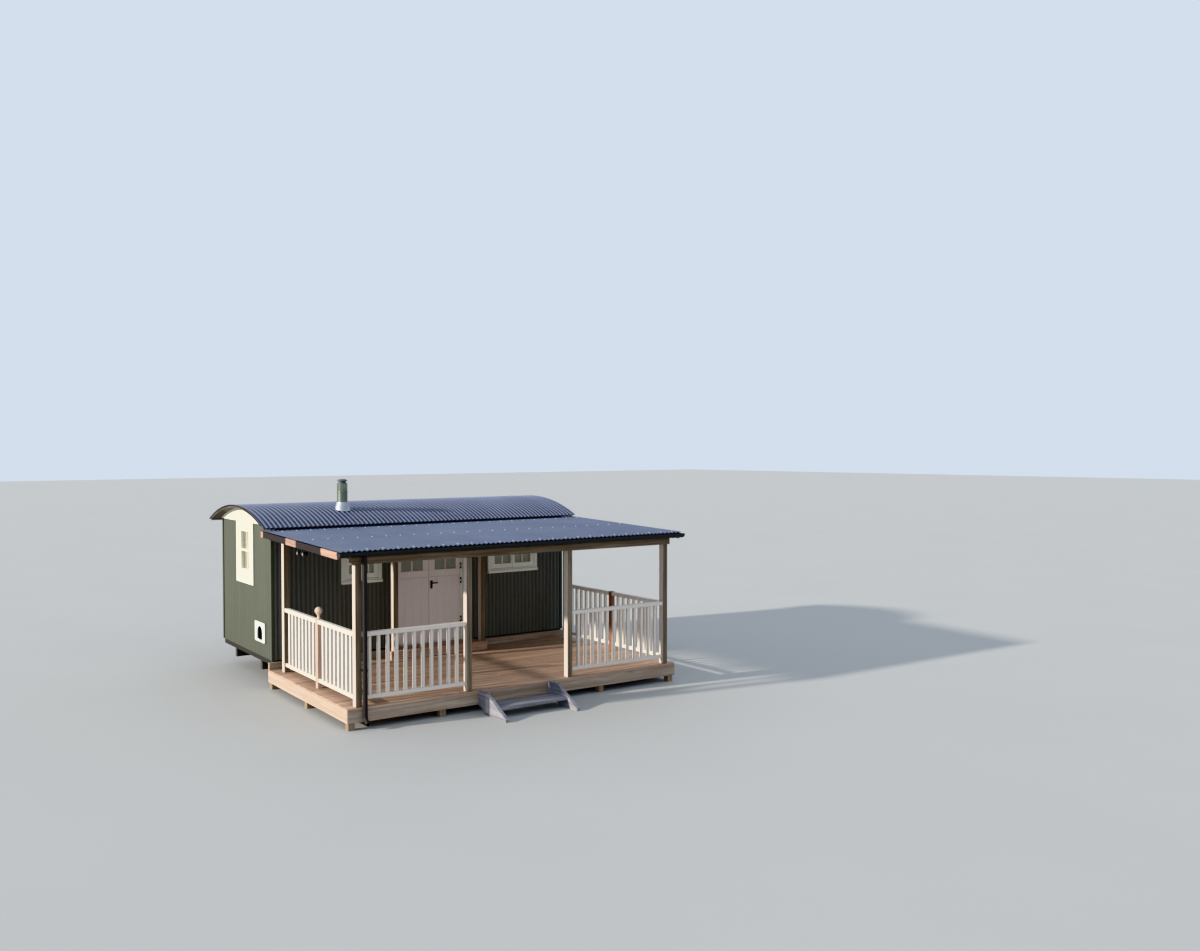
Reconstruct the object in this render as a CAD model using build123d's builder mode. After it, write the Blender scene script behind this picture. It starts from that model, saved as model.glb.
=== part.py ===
from build123d import *
import os
from math import asin, cos, degrees, sin, sqrt

# A shepherds hut on small iron wheels, with a bow roof of corrugated sheet and a timber verandah along
# its long front side. Millimetres. X runs along the hut, the verandah faces -Y, and Z is up from the
# ground. The origin is on the ground at the middle of the whole footprint.

# Hut body
hut_length = 5470
hut_width = 2290
wall = 90
floor_thickness = 80
floor_top = 415
floor_inset = 20
gable_base = 2468
corner_width = 42
corner_sheet = 3

# Corrugated sheets of the walls and of both roofs
wave_pitch = 76.2
wave_depth = 16

# Bow roof
ridge_height = 2745
roof_rise = 290
end_overhang = 185
eave_overhang = 156
bow_sheet = 25
soffit_board = 18
soffit_set_in = 10

# Running gear
rail_width = 70
rail_spread = 1200
wheel_radius = 158
wheel_width = 50
wheel_rim = 26
wheel_hub_radius = 42
wheel_spokes = 8
spoke_width = 20
spoke_thickness = 16
wheel_inset = 110
axle_inset = 850
axle_size = 60
axle_pin_radius = 20
axle_side_play = 10

# Doorway and doors
door_width = 1308
door_proud = 15
door_jamb = 50
door_sill = 25
door_beam_clear = 25
leaf_gap = 6
leaf_thickness = 44
leaf_meeting_stile = 110
leaf_hinge_stile = 80
leaf_top_rail = 90
leaf_mid_rail = 115
leaf_mid_base = 1517
hinge_radius = 8
hinge_clear = 0.3
hinge_knuckle = 32
hinge_sheet = 5
hinge_reach = 26
hinge_heights = (777, 1425, 1670)
handle_from_edge = 45
handle_plate_width = 38
handle_plate_height = 133
handle_plate_depth = 6
handle_plate_base = 1323
handle_height = 1414
handle_neck = 34
handle_lever = 115
handle_bar = 18

# Windows in the long walls
window_base = 1500
window_head = 2300
window_side = 135
window_rail = 107
window_top_rail = 70
window_depth = 80
window_proud = 15
mullion = 80
sill_height = 45
sill_reach = 30
pane = 8
left_window_width = 712
left_window_centre = -1218
right_window_width = 1019
right_window_centre = 1672
rear_window_width = 1019

# Windows in the end walls
end_pane_width = 360
end_pane_base = 1706
end_pane_head = 2313
end_frame = 40
end_transom = 30
end_trim_width = 780
end_trim_base = 1480
end_trim_sheet = 18

# Wall vent in the left end
vent_width = 440
vent_height = 312
vent_base = 636
vent_from_front = 464
vent_board = 20
vent_corner = 25
vent_mouth_width = 215
vent_mouth_height = 205
vent_mouth_base = 679
vent_duct_wall = 15

# Flue
flue_x = -1340
flue_from_front = 450
flue_radius = 84
flue_wall = 25
flue_top = 3074
cowl_radius = 84
cowl_height = 73
flashing_radius = 145
flashing_skirt = 60
flashing_height = 110
flashing_lip = 8

# Deck
deck_length = 5586
deck_depth = 2830
deck_top = 290
board_thickness = 28
joist_width = 45
joist_height = 80
joist_count = 11
bearer_width = 75
bearer_height = 77
pier_size = 90
pier_count = 5
fascia_height = 162
fascia_thickness = 25
kerb_height = 105
kerb_thickness = 50
step_height = 140
step_reach = 400
step_half_length = 900
step_clear = 5

# Posts and beams
post = 90
post_inset_side = 130
left_bay = 1590
right_bay = 1745
rear_row = 330
left_door_post = -780
right_door_post = 855
beam_bottom = 2139
beam_past_posts = 45
rear_beam_depth = 110

# Verandah roof
sheet = 18
sheet_front_height = 2326
sheet_eave_gap = 12
sheet_overhang = 35
sheet_wall_gap = 5
purlin_height = 35
purlin_width = 45
purlin_count = 3
rafter_width = 45
rafter_depth = 90
barge_thickness = 28
barge_depth = 90
barge_set_in = 6
gutter_radius = 56
gutter_side = 8
gutter_wall = 4
gutter_drop = 5
gutter_lengths = 4
gutter_joint = 0.5
downpipe_radius = 31
downpipe_wall = 3
downpipe_clear = 3
downpipe_offset = 20
downpipe_knee = 150
shoe_reach = 75
shoe_drop = 60
shoe_bend = 45
clip_height = 25
clip_width = 20
clip_heights = (760, 1900)

# Balustrades
rail_height = 964
top_rail_width = 70
top_rail_height = 55
bottom_rail_width = 50
bottom_rail_height = 50
rail_foot = 89
baluster = 40
side_balusters = 8
left_bay_balusters = 11
right_bay_balusters = 12
newel = 72
newel_rise = 8
ball_radius = 55
ball_neck_radius = 20
ball_lift = 112

# Steps
stringer = 50
steps_left = -815
steps_width = 1225
steps_reach = 690
steps_flat = 230
stringer_toe = 40
stringer_heel = 330
stringer_root = 100
tread_top = 150
tread_thickness = 35
tread_back = 170
tread_depth = 300

# Porch light under the left barge board
light_from_wall = 1570
light_height = 2190
light_stem = 20
light_lap = 50
light_spread = 190
light_head_radius = 36
light_head_length = 68

# Places worked out from the sizes above
roof_length = hut_length + 2 * end_overhang
half_length = hut_length / 2
roof_half = roof_length / 2
inner_half = half_length - wall
rear_reach = hut_width + eave_overhang
front_reach = deck_depth + steps_reach
front = (front_reach - rear_reach) / 2
back = front + hut_width
hut_middle = front + hut_width / 2
half_span = hut_width / 2 + eave_overhang
bow_radius = (half_span**2 + roof_rise**2) / (2 * roof_rise)
inner_bow = bow_radius - bow_sheet
bow_centre = ridge_height - bow_radius
eave_base = bow_centre + sqrt(inner_bow**2 - half_span**2)
deck_front = front - deck_depth
deck_half = deck_length / 2
deck_under = deck_top - board_thickness
post_face = deck_front + gutter_radius - downpipe_radius - downpipe_clear
post_y = post_face + post / 2
post_x = deck_half - post_inset_side - post / 2
inner_left_x = -post_x + post + left_bay
inner_right_x = post_x - post - right_bay
rear_post_y = front - rear_row + post / 2
sheet_front = post_face - sheet_overhang
sheet_eave = front - eave_overhang
sheet_fall = (eave_base - sheet_eave_gap - sheet_front_height) / (sheet_eave - sheet_front)
rail_top = deck_top + rail_height

os.makedirs("parts", exist_ok=True)


def sheet_top(y):
    """Height of the top of the verandah roof sheet at a place from front to back."""
    return sheet_front_height + sheet_fall * (y - sheet_front)


def waves(start, end):
    """Places along corrugated sheets, each with its depth below the crests, four to a wave."""
    count = round((end - start) / wave_pitch)
    step = (end - start) / count
    line = [(start, 0)]
    for k in range(count):
        for part, depth in ((1 / 8, 0), (3 / 8, wave_depth), (5 / 8, wave_depth), (7 / 8, 0)):
            line.append((start + (k + part) * step, depth))
    return [*line, (end, 0)]


rear_post_top = sheet_top(rear_post_y) - sheet - rear_beam_depth

# Floor of the hut
with BuildPart() as hut_floor:
    with BuildSketch(Plane.XY.offset(floor_top - floor_thickness)):
        with Locations((0, hut_middle)):
            Rectangle(hut_length - 2 * floor_inset, hut_width - 2 * floor_inset)
    extrude(amount=floor_thickness)
hut_floor.part.label = "hut_floor"
export_step(hut_floor.part, "parts/hut_floor.step")

# Two long rails under the floor, which sit on two axles with pins for the wheels
axle_top = wheel_radius + axle_size / 2
with BuildPart() as chassis_rails:
    with BuildSketch(Plane.XY.offset(axle_top)):
        with Locations((0, hut_middle)):
            with GridLocations(0, rail_spread, 1, 2):
                Rectangle(hut_length - 4 * floor_inset, rail_width)
    extrude(amount=floor_top - floor_thickness - axle_top)
chassis_rails.part.label = "chassis_rails"
export_step(chassis_rails.part, "parts/chassis_rails.step")

wheel_x = half_length - axle_inset
wheel_track = hut_width - 2 * wheel_inset - wheel_width
axle_length = wheel_track - wheel_width - 2 * axle_side_play
with BuildPart() as axles:
    with BuildSketch(Plane.XY.offset(wheel_radius - axle_size / 2)):
        with Locations((0, hut_middle)):
            with GridLocations(2 * wheel_x, 0, 2, 1):
                Rectangle(axle_size, axle_length)
    extrude(amount=axle_size)
    with BuildSketch(Plane.XZ.offset(-hut_middle)):
        with Locations((-wheel_x, wheel_radius), (wheel_x, wheel_radius)):
            Circle(axle_pin_radius)
    extrude(amount=(wheel_track + wheel_width) / 2, both=True)
axles.part.label = "axles"
export_step(axles.part, "parts/axles.step")

# Four spoked iron wheels
spoke_start = (wheel_hub_radius + axle_pin_radius) / 2
spoke_length = wheel_radius - wheel_rim / 2 - spoke_start
with BuildPart() as wheels:
    for y in (hut_middle - wheel_track / 2, hut_middle + wheel_track / 2):
        for x in (-wheel_x, wheel_x):
            with BuildSketch(Plane.XZ.offset(-y)):
                with Locations((x, wheel_radius)):
                    Circle(wheel_radius)
                    Circle(wheel_radius - wheel_rim, mode=Mode.SUBTRACT)
                    Circle(wheel_hub_radius)
                    Circle(axle_pin_radius, mode=Mode.SUBTRACT)
            extrude(amount=wheel_width / 2, both=True)
            with BuildSketch(Plane.XZ.offset(-y)):
                with Locations((x, wheel_radius)):
                    with PolarLocations(spoke_start + spoke_length / 2, wheel_spokes):
                        Rectangle(spoke_length, spoke_width)
            extrude(amount=spoke_thickness / 2, both=True)
wheels.part.label = "wheels"
export_step(wheels.part, "parts/wheels.step")

# Plan of the hut round the outside of its sheets
long_waves = waves(-half_length, half_length)
end_waves = waves(front, back)
hut_plan = [(x, front + depth) for x, depth in long_waves]
hut_plan += [(half_length - depth, y) for y, depth in end_waves[1:]]
hut_plan += [(x, back - depth) for x, depth in long_waves[-2::-1]]
hut_plan += [(depth - half_length, y) for y, depth in end_waves[-2:0:-1]]


def corrugate():
    """Gives the outer face of a wall the waves of its sheets."""
    with BuildSketch(Plane.XY) as profile:
        with BuildLine():
            Polyline(*hut_plan, close=True)
        make_face()
    extrude(profile.sketch, amount=ridge_height, mode=Mode.INTERSECT)


# End walls, each with a window's hole, and a vent's hole in the left one
end_hole_width = end_pane_width + 2 * end_frame
end_hole_height = end_pane_head - end_pane_base + 2 * end_frame
end_pane_middle = (end_pane_base + end_pane_head) / 2
vent_y = front + vent_from_front
vent_mouth_middle = vent_mouth_base + vent_mouth_height / 2
duct_width = vent_mouth_width + 2 * vent_duct_wall
duct_height = vent_mouth_height + 2 * vent_duct_wall
for name, x in (("left_end_wall", -half_length), ("right_end_wall", inner_half)):
    with BuildPart() as end_wall:
        with BuildSketch(Plane.YZ.offset(x)):
            with Locations((hut_middle, (floor_top + gable_base) / 2)):
                Rectangle(hut_width, gable_base - floor_top)
            with Locations((hut_middle, end_pane_middle)):
                Rectangle(end_hole_width, end_hole_height, mode=Mode.SUBTRACT)
            if name == "left_end_wall":
                with Locations((vent_y, vent_mouth_middle)):
                    Rectangle(duct_width, duct_height, mode=Mode.SUBTRACT)
        extrude(amount=wall)
        corrugate()
    end_wall.part.label = name
    export_step(end_wall.part, f"parts/{name}.step")

# Curved panels that close both ends between the end walls and the bow
with BuildPart() as gable_panels:
    for x in (-half_length, inner_half):
        with BuildSketch(Plane.YZ.offset(x)):
            with Locations((hut_middle, bow_centre)):
                Circle(inner_bow)
            with Locations((hut_middle, (gable_base + ridge_height) / 2)):
                Rectangle(hut_width, ridge_height - gable_base, mode=Mode.INTERSECT)
        extrude(amount=wall)
gable_panels.part.label = "gable_panels"
export_step(gable_panels.part, "parts/gable_panels.step")

# The doorway, whose leaves pass under the beam of the rear posts when they open
door_half = door_width / 2
leaf_top = rear_post_top - door_beam_clear
door_head = leaf_top + leaf_gap + door_jamb


def long_wall(x0, x1, y0, base):
    """Adds a length of long wall between the end walls, whose top follows the underside of the bow."""
    with BuildSketch(Plane.YZ.offset(x0)) as profile:
        with Locations((hut_middle, bow_centre)):
            Circle(inner_bow)
        with Locations((y0 + wall / 2, (base + ridge_height) / 2)):
            Rectangle(wall, ridge_height - base, mode=Mode.INTERSECT)
    extrude(profile.sketch, amount=x1 - x0)
    corrugate()


def window_hole(centre, width, y0):
    """Cuts the hole of a window through a long wall."""
    with BuildSketch(Plane.XZ.offset(-y0)) as profile:
        with Locations((centre, (window_base + window_head) / 2)):
            Rectangle(width, window_head - window_base)
    extrude(profile.sketch, amount=-wall, mode=Mode.SUBTRACT)


with BuildPart() as front_wall_left:
    long_wall(-inner_half, -door_half, front, floor_top)
    window_hole(left_window_centre, left_window_width, front)
front_wall_left.part.label = "front_wall_left"
export_step(front_wall_left.part, "parts/front_wall_left.step")

with BuildPart() as front_wall_right:
    long_wall(door_half, inner_half, front, floor_top)
    window_hole(right_window_centre, right_window_width, front)
front_wall_right.part.label = "front_wall_right"
export_step(front_wall_right.part, "parts/front_wall_right.step")

with BuildPart() as front_wall_over_door:
    long_wall(-door_half, door_half, front, door_head)
front_wall_over_door.part.label = "front_wall_over_door"
export_step(front_wall_over_door.part, "parts/front_wall_over_door.step")

with BuildPart() as rear_wall:
    long_wall(-inner_half, inner_half, back - wall, floor_top)
    window_hole(0, rear_window_width, back - wall)
rear_wall.part.label = "rear_wall"
export_step(rear_wall.part, "parts/rear_wall.step")

# Metal angles over the four corners of the walls
with BuildPart() as corner_trims:
    with BuildSketch(Plane.XY.offset(floor_top)):
        with Locations((0, hut_middle)):
            with GridLocations(hut_length - corner_width, hut_width - corner_width, 2, 2):
                Rectangle(corner_width + 2 * corner_sheet, corner_width + 2 * corner_sheet)
            Rectangle(hut_length, hut_width, mode=Mode.SUBTRACT)
            Rectangle(hut_length + corner_width, hut_width - 2 * corner_width, mode=Mode.SUBTRACT)
            Rectangle(hut_length - 2 * corner_width, hut_width + corner_width, mode=Mode.SUBTRACT)
    extrude(amount=gable_base - floor_top)
corner_trims.part.label = "corner_trims"
export_step(corner_trims.part, "parts/corner_trims.step")

# Bow roof, whose waves run over it from eave to eave, on a smooth arched lining
roof_waves = waves(-roof_half, roof_half)
bow_turn = asin((half_span + bow_sheet) / inner_bow)
bow_axis = (0, hut_middle, bow_centre)
bow_start = Plane(bow_axis, x_dir=(1, 0, 0), z_dir=(0, -cos(bow_turn), -sin(bow_turn)))
with BuildPart() as bow_roof:
    with BuildSketch(bow_start):
        with BuildLine():
            crests = [(x, bow_radius - depth) for x, depth in roof_waves]
            Polyline(*crests, (roof_half, inner_bow), (-roof_half, inner_bow), close=True)
        make_face()
    revolve(axis=Axis(bow_axis, (-1, 0, 0)), revolution_arc=degrees(2 * bow_turn))
    with BuildSketch(Plane.XY):
        with Locations((0, hut_middle)):
            Rectangle(roof_length, 2 * half_span)
    extrude(amount=2 * ridge_height, mode=Mode.INTERSECT)
bow_roof.part.label = "bow_roof"
export_step(bow_roof.part, "parts/bow_roof.step")

# Boarded soffits under the two end overhangs of the bow
soffit_length = end_overhang - soffit_set_in
with BuildPart() as end_soffits:
    for x in (-half_length - soffit_length, half_length):
        with BuildSketch(Plane.YZ.offset(x)):
            with Locations((hut_middle, bow_centre)):
                Circle(inner_bow)
                Circle(inner_bow - soffit_board, mode=Mode.SUBTRACT)
            with Locations((hut_middle, ridge_height)):
                Rectangle(hut_width, 2 * roof_rise, mode=Mode.INTERSECT)
        extrude(amount=soffit_length)
end_soffits.part.label = "end_soffits"
export_step(end_soffits.part, "parts/end_soffits.step")

# Flue on the front slope of the bow, with a conical flashing and a flat cowl
flue_y = front + flue_from_front
flue_seat = bow_centre + sqrt(bow_radius**2 - (flue_y - hut_middle) ** 2)


def cut_below_bow():
    """Cuts off what lies under the top of the bow roof, near the flue."""
    with BuildSketch(Plane.YZ.offset(flue_x)) as profile:
        with Locations((hut_middle, bow_centre)):
            Circle(bow_radius)
    extrude(profile.sketch, amount=2 * flashing_radius, both=True, mode=Mode.SUBTRACT)


with BuildPart() as flue_flashing:
    with BuildSketch(Plane.XY.offset(flue_seat - flashing_skirt)):
        with Locations((flue_x, flue_y)):
            Circle(flashing_radius)
    with BuildSketch(Plane.XY.offset(flue_seat + flashing_height)):
        with Locations((flue_x, flue_y)):
            Circle(flue_radius + flashing_lip)
    loft()
    cut_below_bow()
    with BuildSketch(Plane.XY.offset(flue_seat - 2 * flashing_skirt)):
        with Locations((flue_x, flue_y)):
            Circle(flue_radius)
    extrude(amount=2 * (flashing_skirt + flashing_height), mode=Mode.SUBTRACT)
flue_flashing.part.label = "flue_flashing"
export_step(flue_flashing.part, "parts/flue_flashing.step")

with BuildPart() as flue_pipe:
    with BuildSketch(Plane.XY.offset(flue_seat - flashing_skirt)):
        with Locations((flue_x, flue_y)):
            Circle(flue_radius)
            Circle(flue_radius - flue_wall, mode=Mode.SUBTRACT)
    extrude(amount=flue_top - flue_seat + flashing_skirt)
    cut_below_bow()
flue_pipe.part.label = "flue_pipe"
export_step(flue_pipe.part, "parts/flue_pipe.step")

with BuildPart() as flue_cowl:
    with BuildSketch(Plane.XY.offset(flue_top)):
        with Locations((flue_x, flue_y)):
            Circle(cowl_radius)
    extrude(amount=cowl_height)
    chamfer(flue_cowl.edges().group_by(Axis.Z)[-1], length=cowl_height / 4)
flue_cowl.part.label = "flue_cowl"
export_step(flue_cowl.part, "parts/flue_cowl.step")

# Door frame with a sill
clear_half = door_half - door_jamb
frame_front = front - door_proud
opening_base = floor_top + door_sill
opening_head = door_head - door_jamb
with BuildPart() as door_frame:
    with BuildSketch(Plane.XZ.offset(-frame_front)):
        with Locations((0, (floor_top + door_head) / 2)):
            Rectangle(door_width, door_head - floor_top)
        with Locations((0, (opening_base + opening_head) / 2)):
            Rectangle(2 * clear_half, opening_head - opening_base, mode=Mode.SUBTRACT)
    extrude(amount=-wall)
door_frame.part.label = "door_frame"
export_step(door_frame.part, "parts/door_frame.step")

# Each hinge has a middle knuckle with its strap on the leaf, and two outer knuckles on the jamb
hinge_x = clear_half - leaf_gap / 2
hinge_y = frame_front - hinge_radius - hinge_clear
knuckle_gap = hinge_radius + 2 * hinge_clear
with BuildPart() as frame_hinges:
    for side in (-1, 1):
        for height in hinge_heights:
            for level in (-1.5 * hinge_knuckle - hinge_clear, hinge_knuckle / 2 + hinge_clear):
                with BuildSketch(Plane.XY.offset(height + level)):
                    with Locations((side * hinge_x, hinge_y)):
                        Circle(hinge_radius)
                    with Locations((side * (hinge_x + hinge_reach / 2), frame_front - hinge_sheet / 2)):
                        Rectangle(hinge_reach, hinge_sheet)
                extrude(amount=hinge_knuckle)
            with BuildSketch(Plane.XY.offset(height - hinge_knuckle)):
                plate_middle = hinge_x + (knuckle_gap + hinge_reach) / 2
                with Locations((side * plate_middle, frame_front - hinge_sheet / 2)):
                    Rectangle(hinge_reach - knuckle_gap, hinge_sheet)
            extrude(amount=2 * hinge_knuckle)
frame_hinges.part.label = "frame_hinges"
export_step(frame_hinges.part, "parts/frame_hinges.step")

# Two glazed leaves that open outwards
leaf_width = clear_half - 1.5 * leaf_gap
leaf_base = opening_base + leaf_gap
glass_base = leaf_mid_base + leaf_mid_rail
glass_head = leaf_top - leaf_top_rail
glass_width = leaf_width - leaf_meeting_stile - leaf_hinge_stile
glass_from_middle = leaf_gap / 2 + leaf_meeting_stile + glass_width / 2
for name, side in (("left", -1), ("right", 1)):
    leaf_middle = side * (leaf_gap + leaf_width) / 2
    with BuildPart() as door_leaf:
        with BuildSketch(Plane.XZ.offset(-frame_front)):
            with Locations((leaf_middle, (leaf_base + leaf_top) / 2)):
                Rectangle(leaf_width, leaf_top - leaf_base)
            with Locations((side * glass_from_middle, (glass_base + glass_head) / 2)):
                Rectangle(glass_width, glass_head - glass_base, mode=Mode.SUBTRACT)
        extrude(amount=-leaf_thickness)
    door_leaf.part.label = f"{name}_door_leaf"
    export_step(door_leaf.part, f"parts/{name}_door_leaf.step")

    with BuildPart() as door_glass:
        with BuildSketch(Plane.XZ.offset(-frame_front - (leaf_thickness - pane) / 2)):
            with Locations((side * glass_from_middle, (glass_base + glass_head) / 2)):
                Rectangle(glass_width, glass_head - glass_base)
        extrude(amount=-pane)
    door_glass.part.label = f"{name}_door_glass"
    export_step(door_glass.part, f"parts/{name}_door_glass.step")

    with BuildPart() as leaf_hinges:
        for height in hinge_heights:
            with BuildSketch(Plane.XY.offset(height - hinge_knuckle / 2)):
                with Locations((side * hinge_x, hinge_y)):
                    Circle(hinge_radius)
                with Locations((side * (hinge_x - hinge_reach / 2), frame_front - hinge_sheet / 2)):
                    Rectangle(hinge_reach, hinge_sheet)
            extrude(amount=hinge_knuckle)
    leaf_hinges.part.label = f"{name}_door_hinges"
    export_step(leaf_hinges.part, f"parts/{name}_door_hinges.step")

# Lever handles on both faces of the right leaf
handle_x = leaf_gap / 2 + handle_from_edge
handle_plate_middle = handle_plate_base + handle_plate_height / 2
with BuildPart() as door_handle:
    for face, out in ((frame_front, 1), (frame_front + leaf_thickness, -1)):
        with BuildSketch(Plane.XZ.offset(-face)):
            with Locations((handle_x, handle_plate_middle)):
                Rectangle(handle_plate_width, handle_plate_height)
        extrude(amount=out * handle_plate_depth)
        with BuildSketch(Plane.XZ.offset(-face)):
            with Locations((handle_x, handle_height)):
                Circle(handle_bar / 2)
        extrude(amount=out * (handle_plate_depth + handle_neck))
        with BuildSketch(Plane.XZ.offset(-face + out * (handle_plate_depth + handle_neck))):
            with Locations((handle_x + (handle_lever - handle_bar) / 2, handle_height)):
                SlotOverall(handle_lever, handle_bar)
        extrude(amount=-out * handle_bar)
door_handle.part.label = "door_handle"
export_step(door_handle.part, "parts/door_handle.step")

light_base = window_base + sill_height + window_rail
light_head = window_head - window_top_rail


def window_lights(centre, width, mode):
    """Draws the two lights of a window in a long wall."""
    light_width = (width - 2 * window_side - mullion) / 2
    with Locations((centre, (light_base + light_head) / 2)):
        with GridLocations(light_width + mullion, 0, 2, 1):
            Rectangle(light_width, light_head - light_base, mode=mode)


def window_frame(centre, width, plane, outer):
    """Adds a window frame of two lights with a sill, on a plane that looks out of the wall."""
    with BuildSketch(plane.offset(outer + window_proud)) as profile:
        with Locations((centre, (window_base + window_head) / 2)):
            Rectangle(width, window_head - window_base)
        window_lights(centre, width, Mode.SUBTRACT)
    extrude(profile.sketch, amount=-window_depth)
    with BuildSketch(plane.offset(outer + window_proud)) as profile:
        with Locations((centre, window_base + sill_height / 2)):
            Rectangle(width, sill_height)
    extrude(profile.sketch, amount=sill_reach)


def window_panes(centre, width, plane, outer):
    """Adds the two panes of such a window, in the middle of its frame's depth."""
    with BuildSketch(plane.offset(outer + window_proud - (window_depth - pane) / 2)) as profile:
        window_lights(centre, width, Mode.ADD)
    extrude(profile.sketch, amount=-pane)


# Windows of the two long walls
with BuildPart() as front_windows:
    window_frame(left_window_centre, left_window_width, Plane.front, -front)
    window_frame(right_window_centre, right_window_width, Plane.front, -front)
front_windows.part.label = "front_windows"
export_step(front_windows.part, "parts/front_windows.step")

with BuildPart() as rear_window:
    window_frame(0, rear_window_width, Plane.back, back)
rear_window.part.label = "rear_window"
export_step(rear_window.part, "parts/rear_window.step")


def end_window_board(plane, across, outer, width, base, head, depth):
    """Adds one layer of an end window, with its lower and its upper light cut out."""
    with BuildSketch(plane.offset(half_length + outer)) as profile:
        with Locations((across, (base + head) / 2)):
            Rectangle(width, head - base)
        with Locations((across, end_pane_middle)):
            Rectangle(end_pane_width, end_pane_head - end_pane_base, mode=Mode.SUBTRACT)
            Rectangle(end_pane_width, end_transom)
    extrude(profile.sketch, amount=-depth)


# End windows: a flat trim on the wall up to the curved panel, and a frame inside the wall's hole
end_hole_base = end_pane_base - end_frame
end_hole_head = end_pane_head + end_frame
with BuildPart() as end_windows:
    for side, plane in ((-1, Plane.left), (1, Plane.right)):
        across = side * hut_middle
        end_window_board(plane, across, 0, end_hole_width, end_hole_base, end_hole_head, wall)
        end_window_board(
            plane, across, end_trim_sheet, end_trim_width, end_trim_base, gable_base, end_trim_sheet
        )
end_windows.part.label = "end_windows"
export_step(end_windows.part, "parts/end_windows.step")

# Window panes
end_light = (end_pane_head - end_pane_base - end_transom) / 2
with BuildPart() as window_glass:
    window_panes(left_window_centre, left_window_width, Plane.front, -front)
    window_panes(right_window_centre, right_window_width, Plane.front, -front)
    window_panes(0, rear_window_width, Plane.back, back)
    for side, plane in ((-1, Plane.left), (1, Plane.right)):
        with BuildSketch(plane.offset(half_length - (wall - pane) / 2)):
            with Locations((side * hut_middle, end_pane_middle)):
                with GridLocations(0, end_light + end_transom, 1, 2):
                    Rectangle(end_pane_width, end_light)
        extrude(amount=-pane)
window_glass.part.label = "window_glass"
export_step(window_glass.part, "parts/window_glass.step")

# Low vent in the left end: a board with an arched mouth, and a box closed at its back
arch_radius = vent_mouth_width / 2
arch_spring = vent_mouth_base + vent_mouth_height - arch_radius
with BuildPart() as wall_vent:
    with BuildSketch(Plane.YZ.offset(-half_length - vent_board)):
        with Locations((vent_y, vent_base + vent_height / 2)):
            RectangleRounded(vent_width, vent_height, vent_corner)
    extrude(amount=vent_board)
    with BuildSketch(Plane.YZ.offset(-half_length)):
        with Locations((vent_y, vent_mouth_middle)):
            Rectangle(duct_width, duct_height)
    extrude(amount=wall)
    with BuildSketch(Plane.YZ.offset(-half_length - vent_board)):
        with Locations((vent_y, arch_spring)):
            Circle(arch_radius)
        with Locations((vent_y, (vent_mouth_base + arch_spring) / 2)):
            Rectangle(vent_mouth_width, arch_spring - vent_mouth_base)
    extrude(amount=vent_board + wall - vent_duct_wall, mode=Mode.SUBTRACT)
wall_vent.part.label = "wall_vent"
export_step(wall_vent.part, "parts/wall_vent.step")

# Deck: boards on joists on bearers on short piers
with BuildPart() as deck_boards:
    with BuildSketch(Plane.XY.offset(deck_under)):
        with Locations((0, front - deck_depth / 2)):
            Rectangle(deck_length, deck_depth)
    extrude(amount=board_thickness)
deck_boards.part.label = "deck_boards"
export_step(deck_boards.part, "parts/deck_boards.step")

frame_length = deck_length - 2 * fascia_thickness
frame_depth = deck_depth - fascia_thickness
frame_middle = front - frame_depth / 2
joist_step = (frame_length - joist_width) / (joist_count - 1)
with BuildPart() as deck_joists:
    with BuildSketch(Plane.XY.offset(deck_under - joist_height)):
        with Locations((0, frame_middle)):
            with GridLocations(joist_step, 0, joist_count, 1):
                Rectangle(joist_width, frame_depth)
    extrude(amount=joist_height)
deck_joists.part.label = "deck_joists"
export_step(deck_joists.part, "parts/deck_joists.step")

bearer_base = deck_under - joist_height - bearer_height
with BuildPart() as deck_bearers:
    with BuildSketch(Plane.XY.offset(bearer_base)):
        with Locations((0, frame_middle)):
            with GridLocations(0, (frame_depth - bearer_width) / 2, 1, 3):
                Rectangle(frame_length, bearer_width)
    extrude(amount=bearer_height)
deck_bearers.part.label = "deck_bearers"
export_step(deck_bearers.part, "parts/deck_bearers.step")

with BuildPart() as deck_piers:
    with BuildSketch(Plane.XY):
        with Locations((0, frame_middle)):
            pier_step = (frame_length - pier_size) / (pier_count - 1)
            with GridLocations(pier_step, (frame_depth - pier_size) / 2, pier_count, 3):
                Rectangle(pier_size, pier_size)
    extrude(amount=bearer_base)
deck_piers.part.label = "deck_piers"
export_step(deck_piers.part, "parts/deck_piers.step")

# Fascia boards round the three open sides of the deck, flush with its edge
with BuildPart() as deck_fascia:
    with BuildSketch(Plane.XY.offset(deck_under - fascia_height)):
        with Locations((0, front - deck_depth / 2)):
            Rectangle(deck_length, deck_depth)
        with Locations((0, frame_middle)):
            Rectangle(frame_length, frame_depth, mode=Mode.SUBTRACT)
    extrude(amount=fascia_height)
deck_fascia.part.label = "deck_fascia"
export_step(deck_fascia.part, "parts/deck_fascia.step")

# Low kerb boards on the deck along the foot of the wall, on both sides of the doorstep
step_neck_left = left_door_post + post / 2 + step_clear
step_neck_right = right_door_post - post / 2 - step_clear
with BuildPart() as wall_kerbs:
    for x0, x1 in ((-deck_half, step_neck_left), (step_neck_right, deck_half)):
        with BuildSketch(Plane.XY.offset(deck_top)):
            with Locations(((x0 + x1) / 2, front - kerb_thickness / 2)):
                Rectangle(x1 - x0, kerb_thickness)
        extrude(amount=kerb_height)
wall_kerbs.part.label = "wall_kerbs"
export_step(wall_kerbs.part, "parts/wall_kerbs.step")

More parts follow.
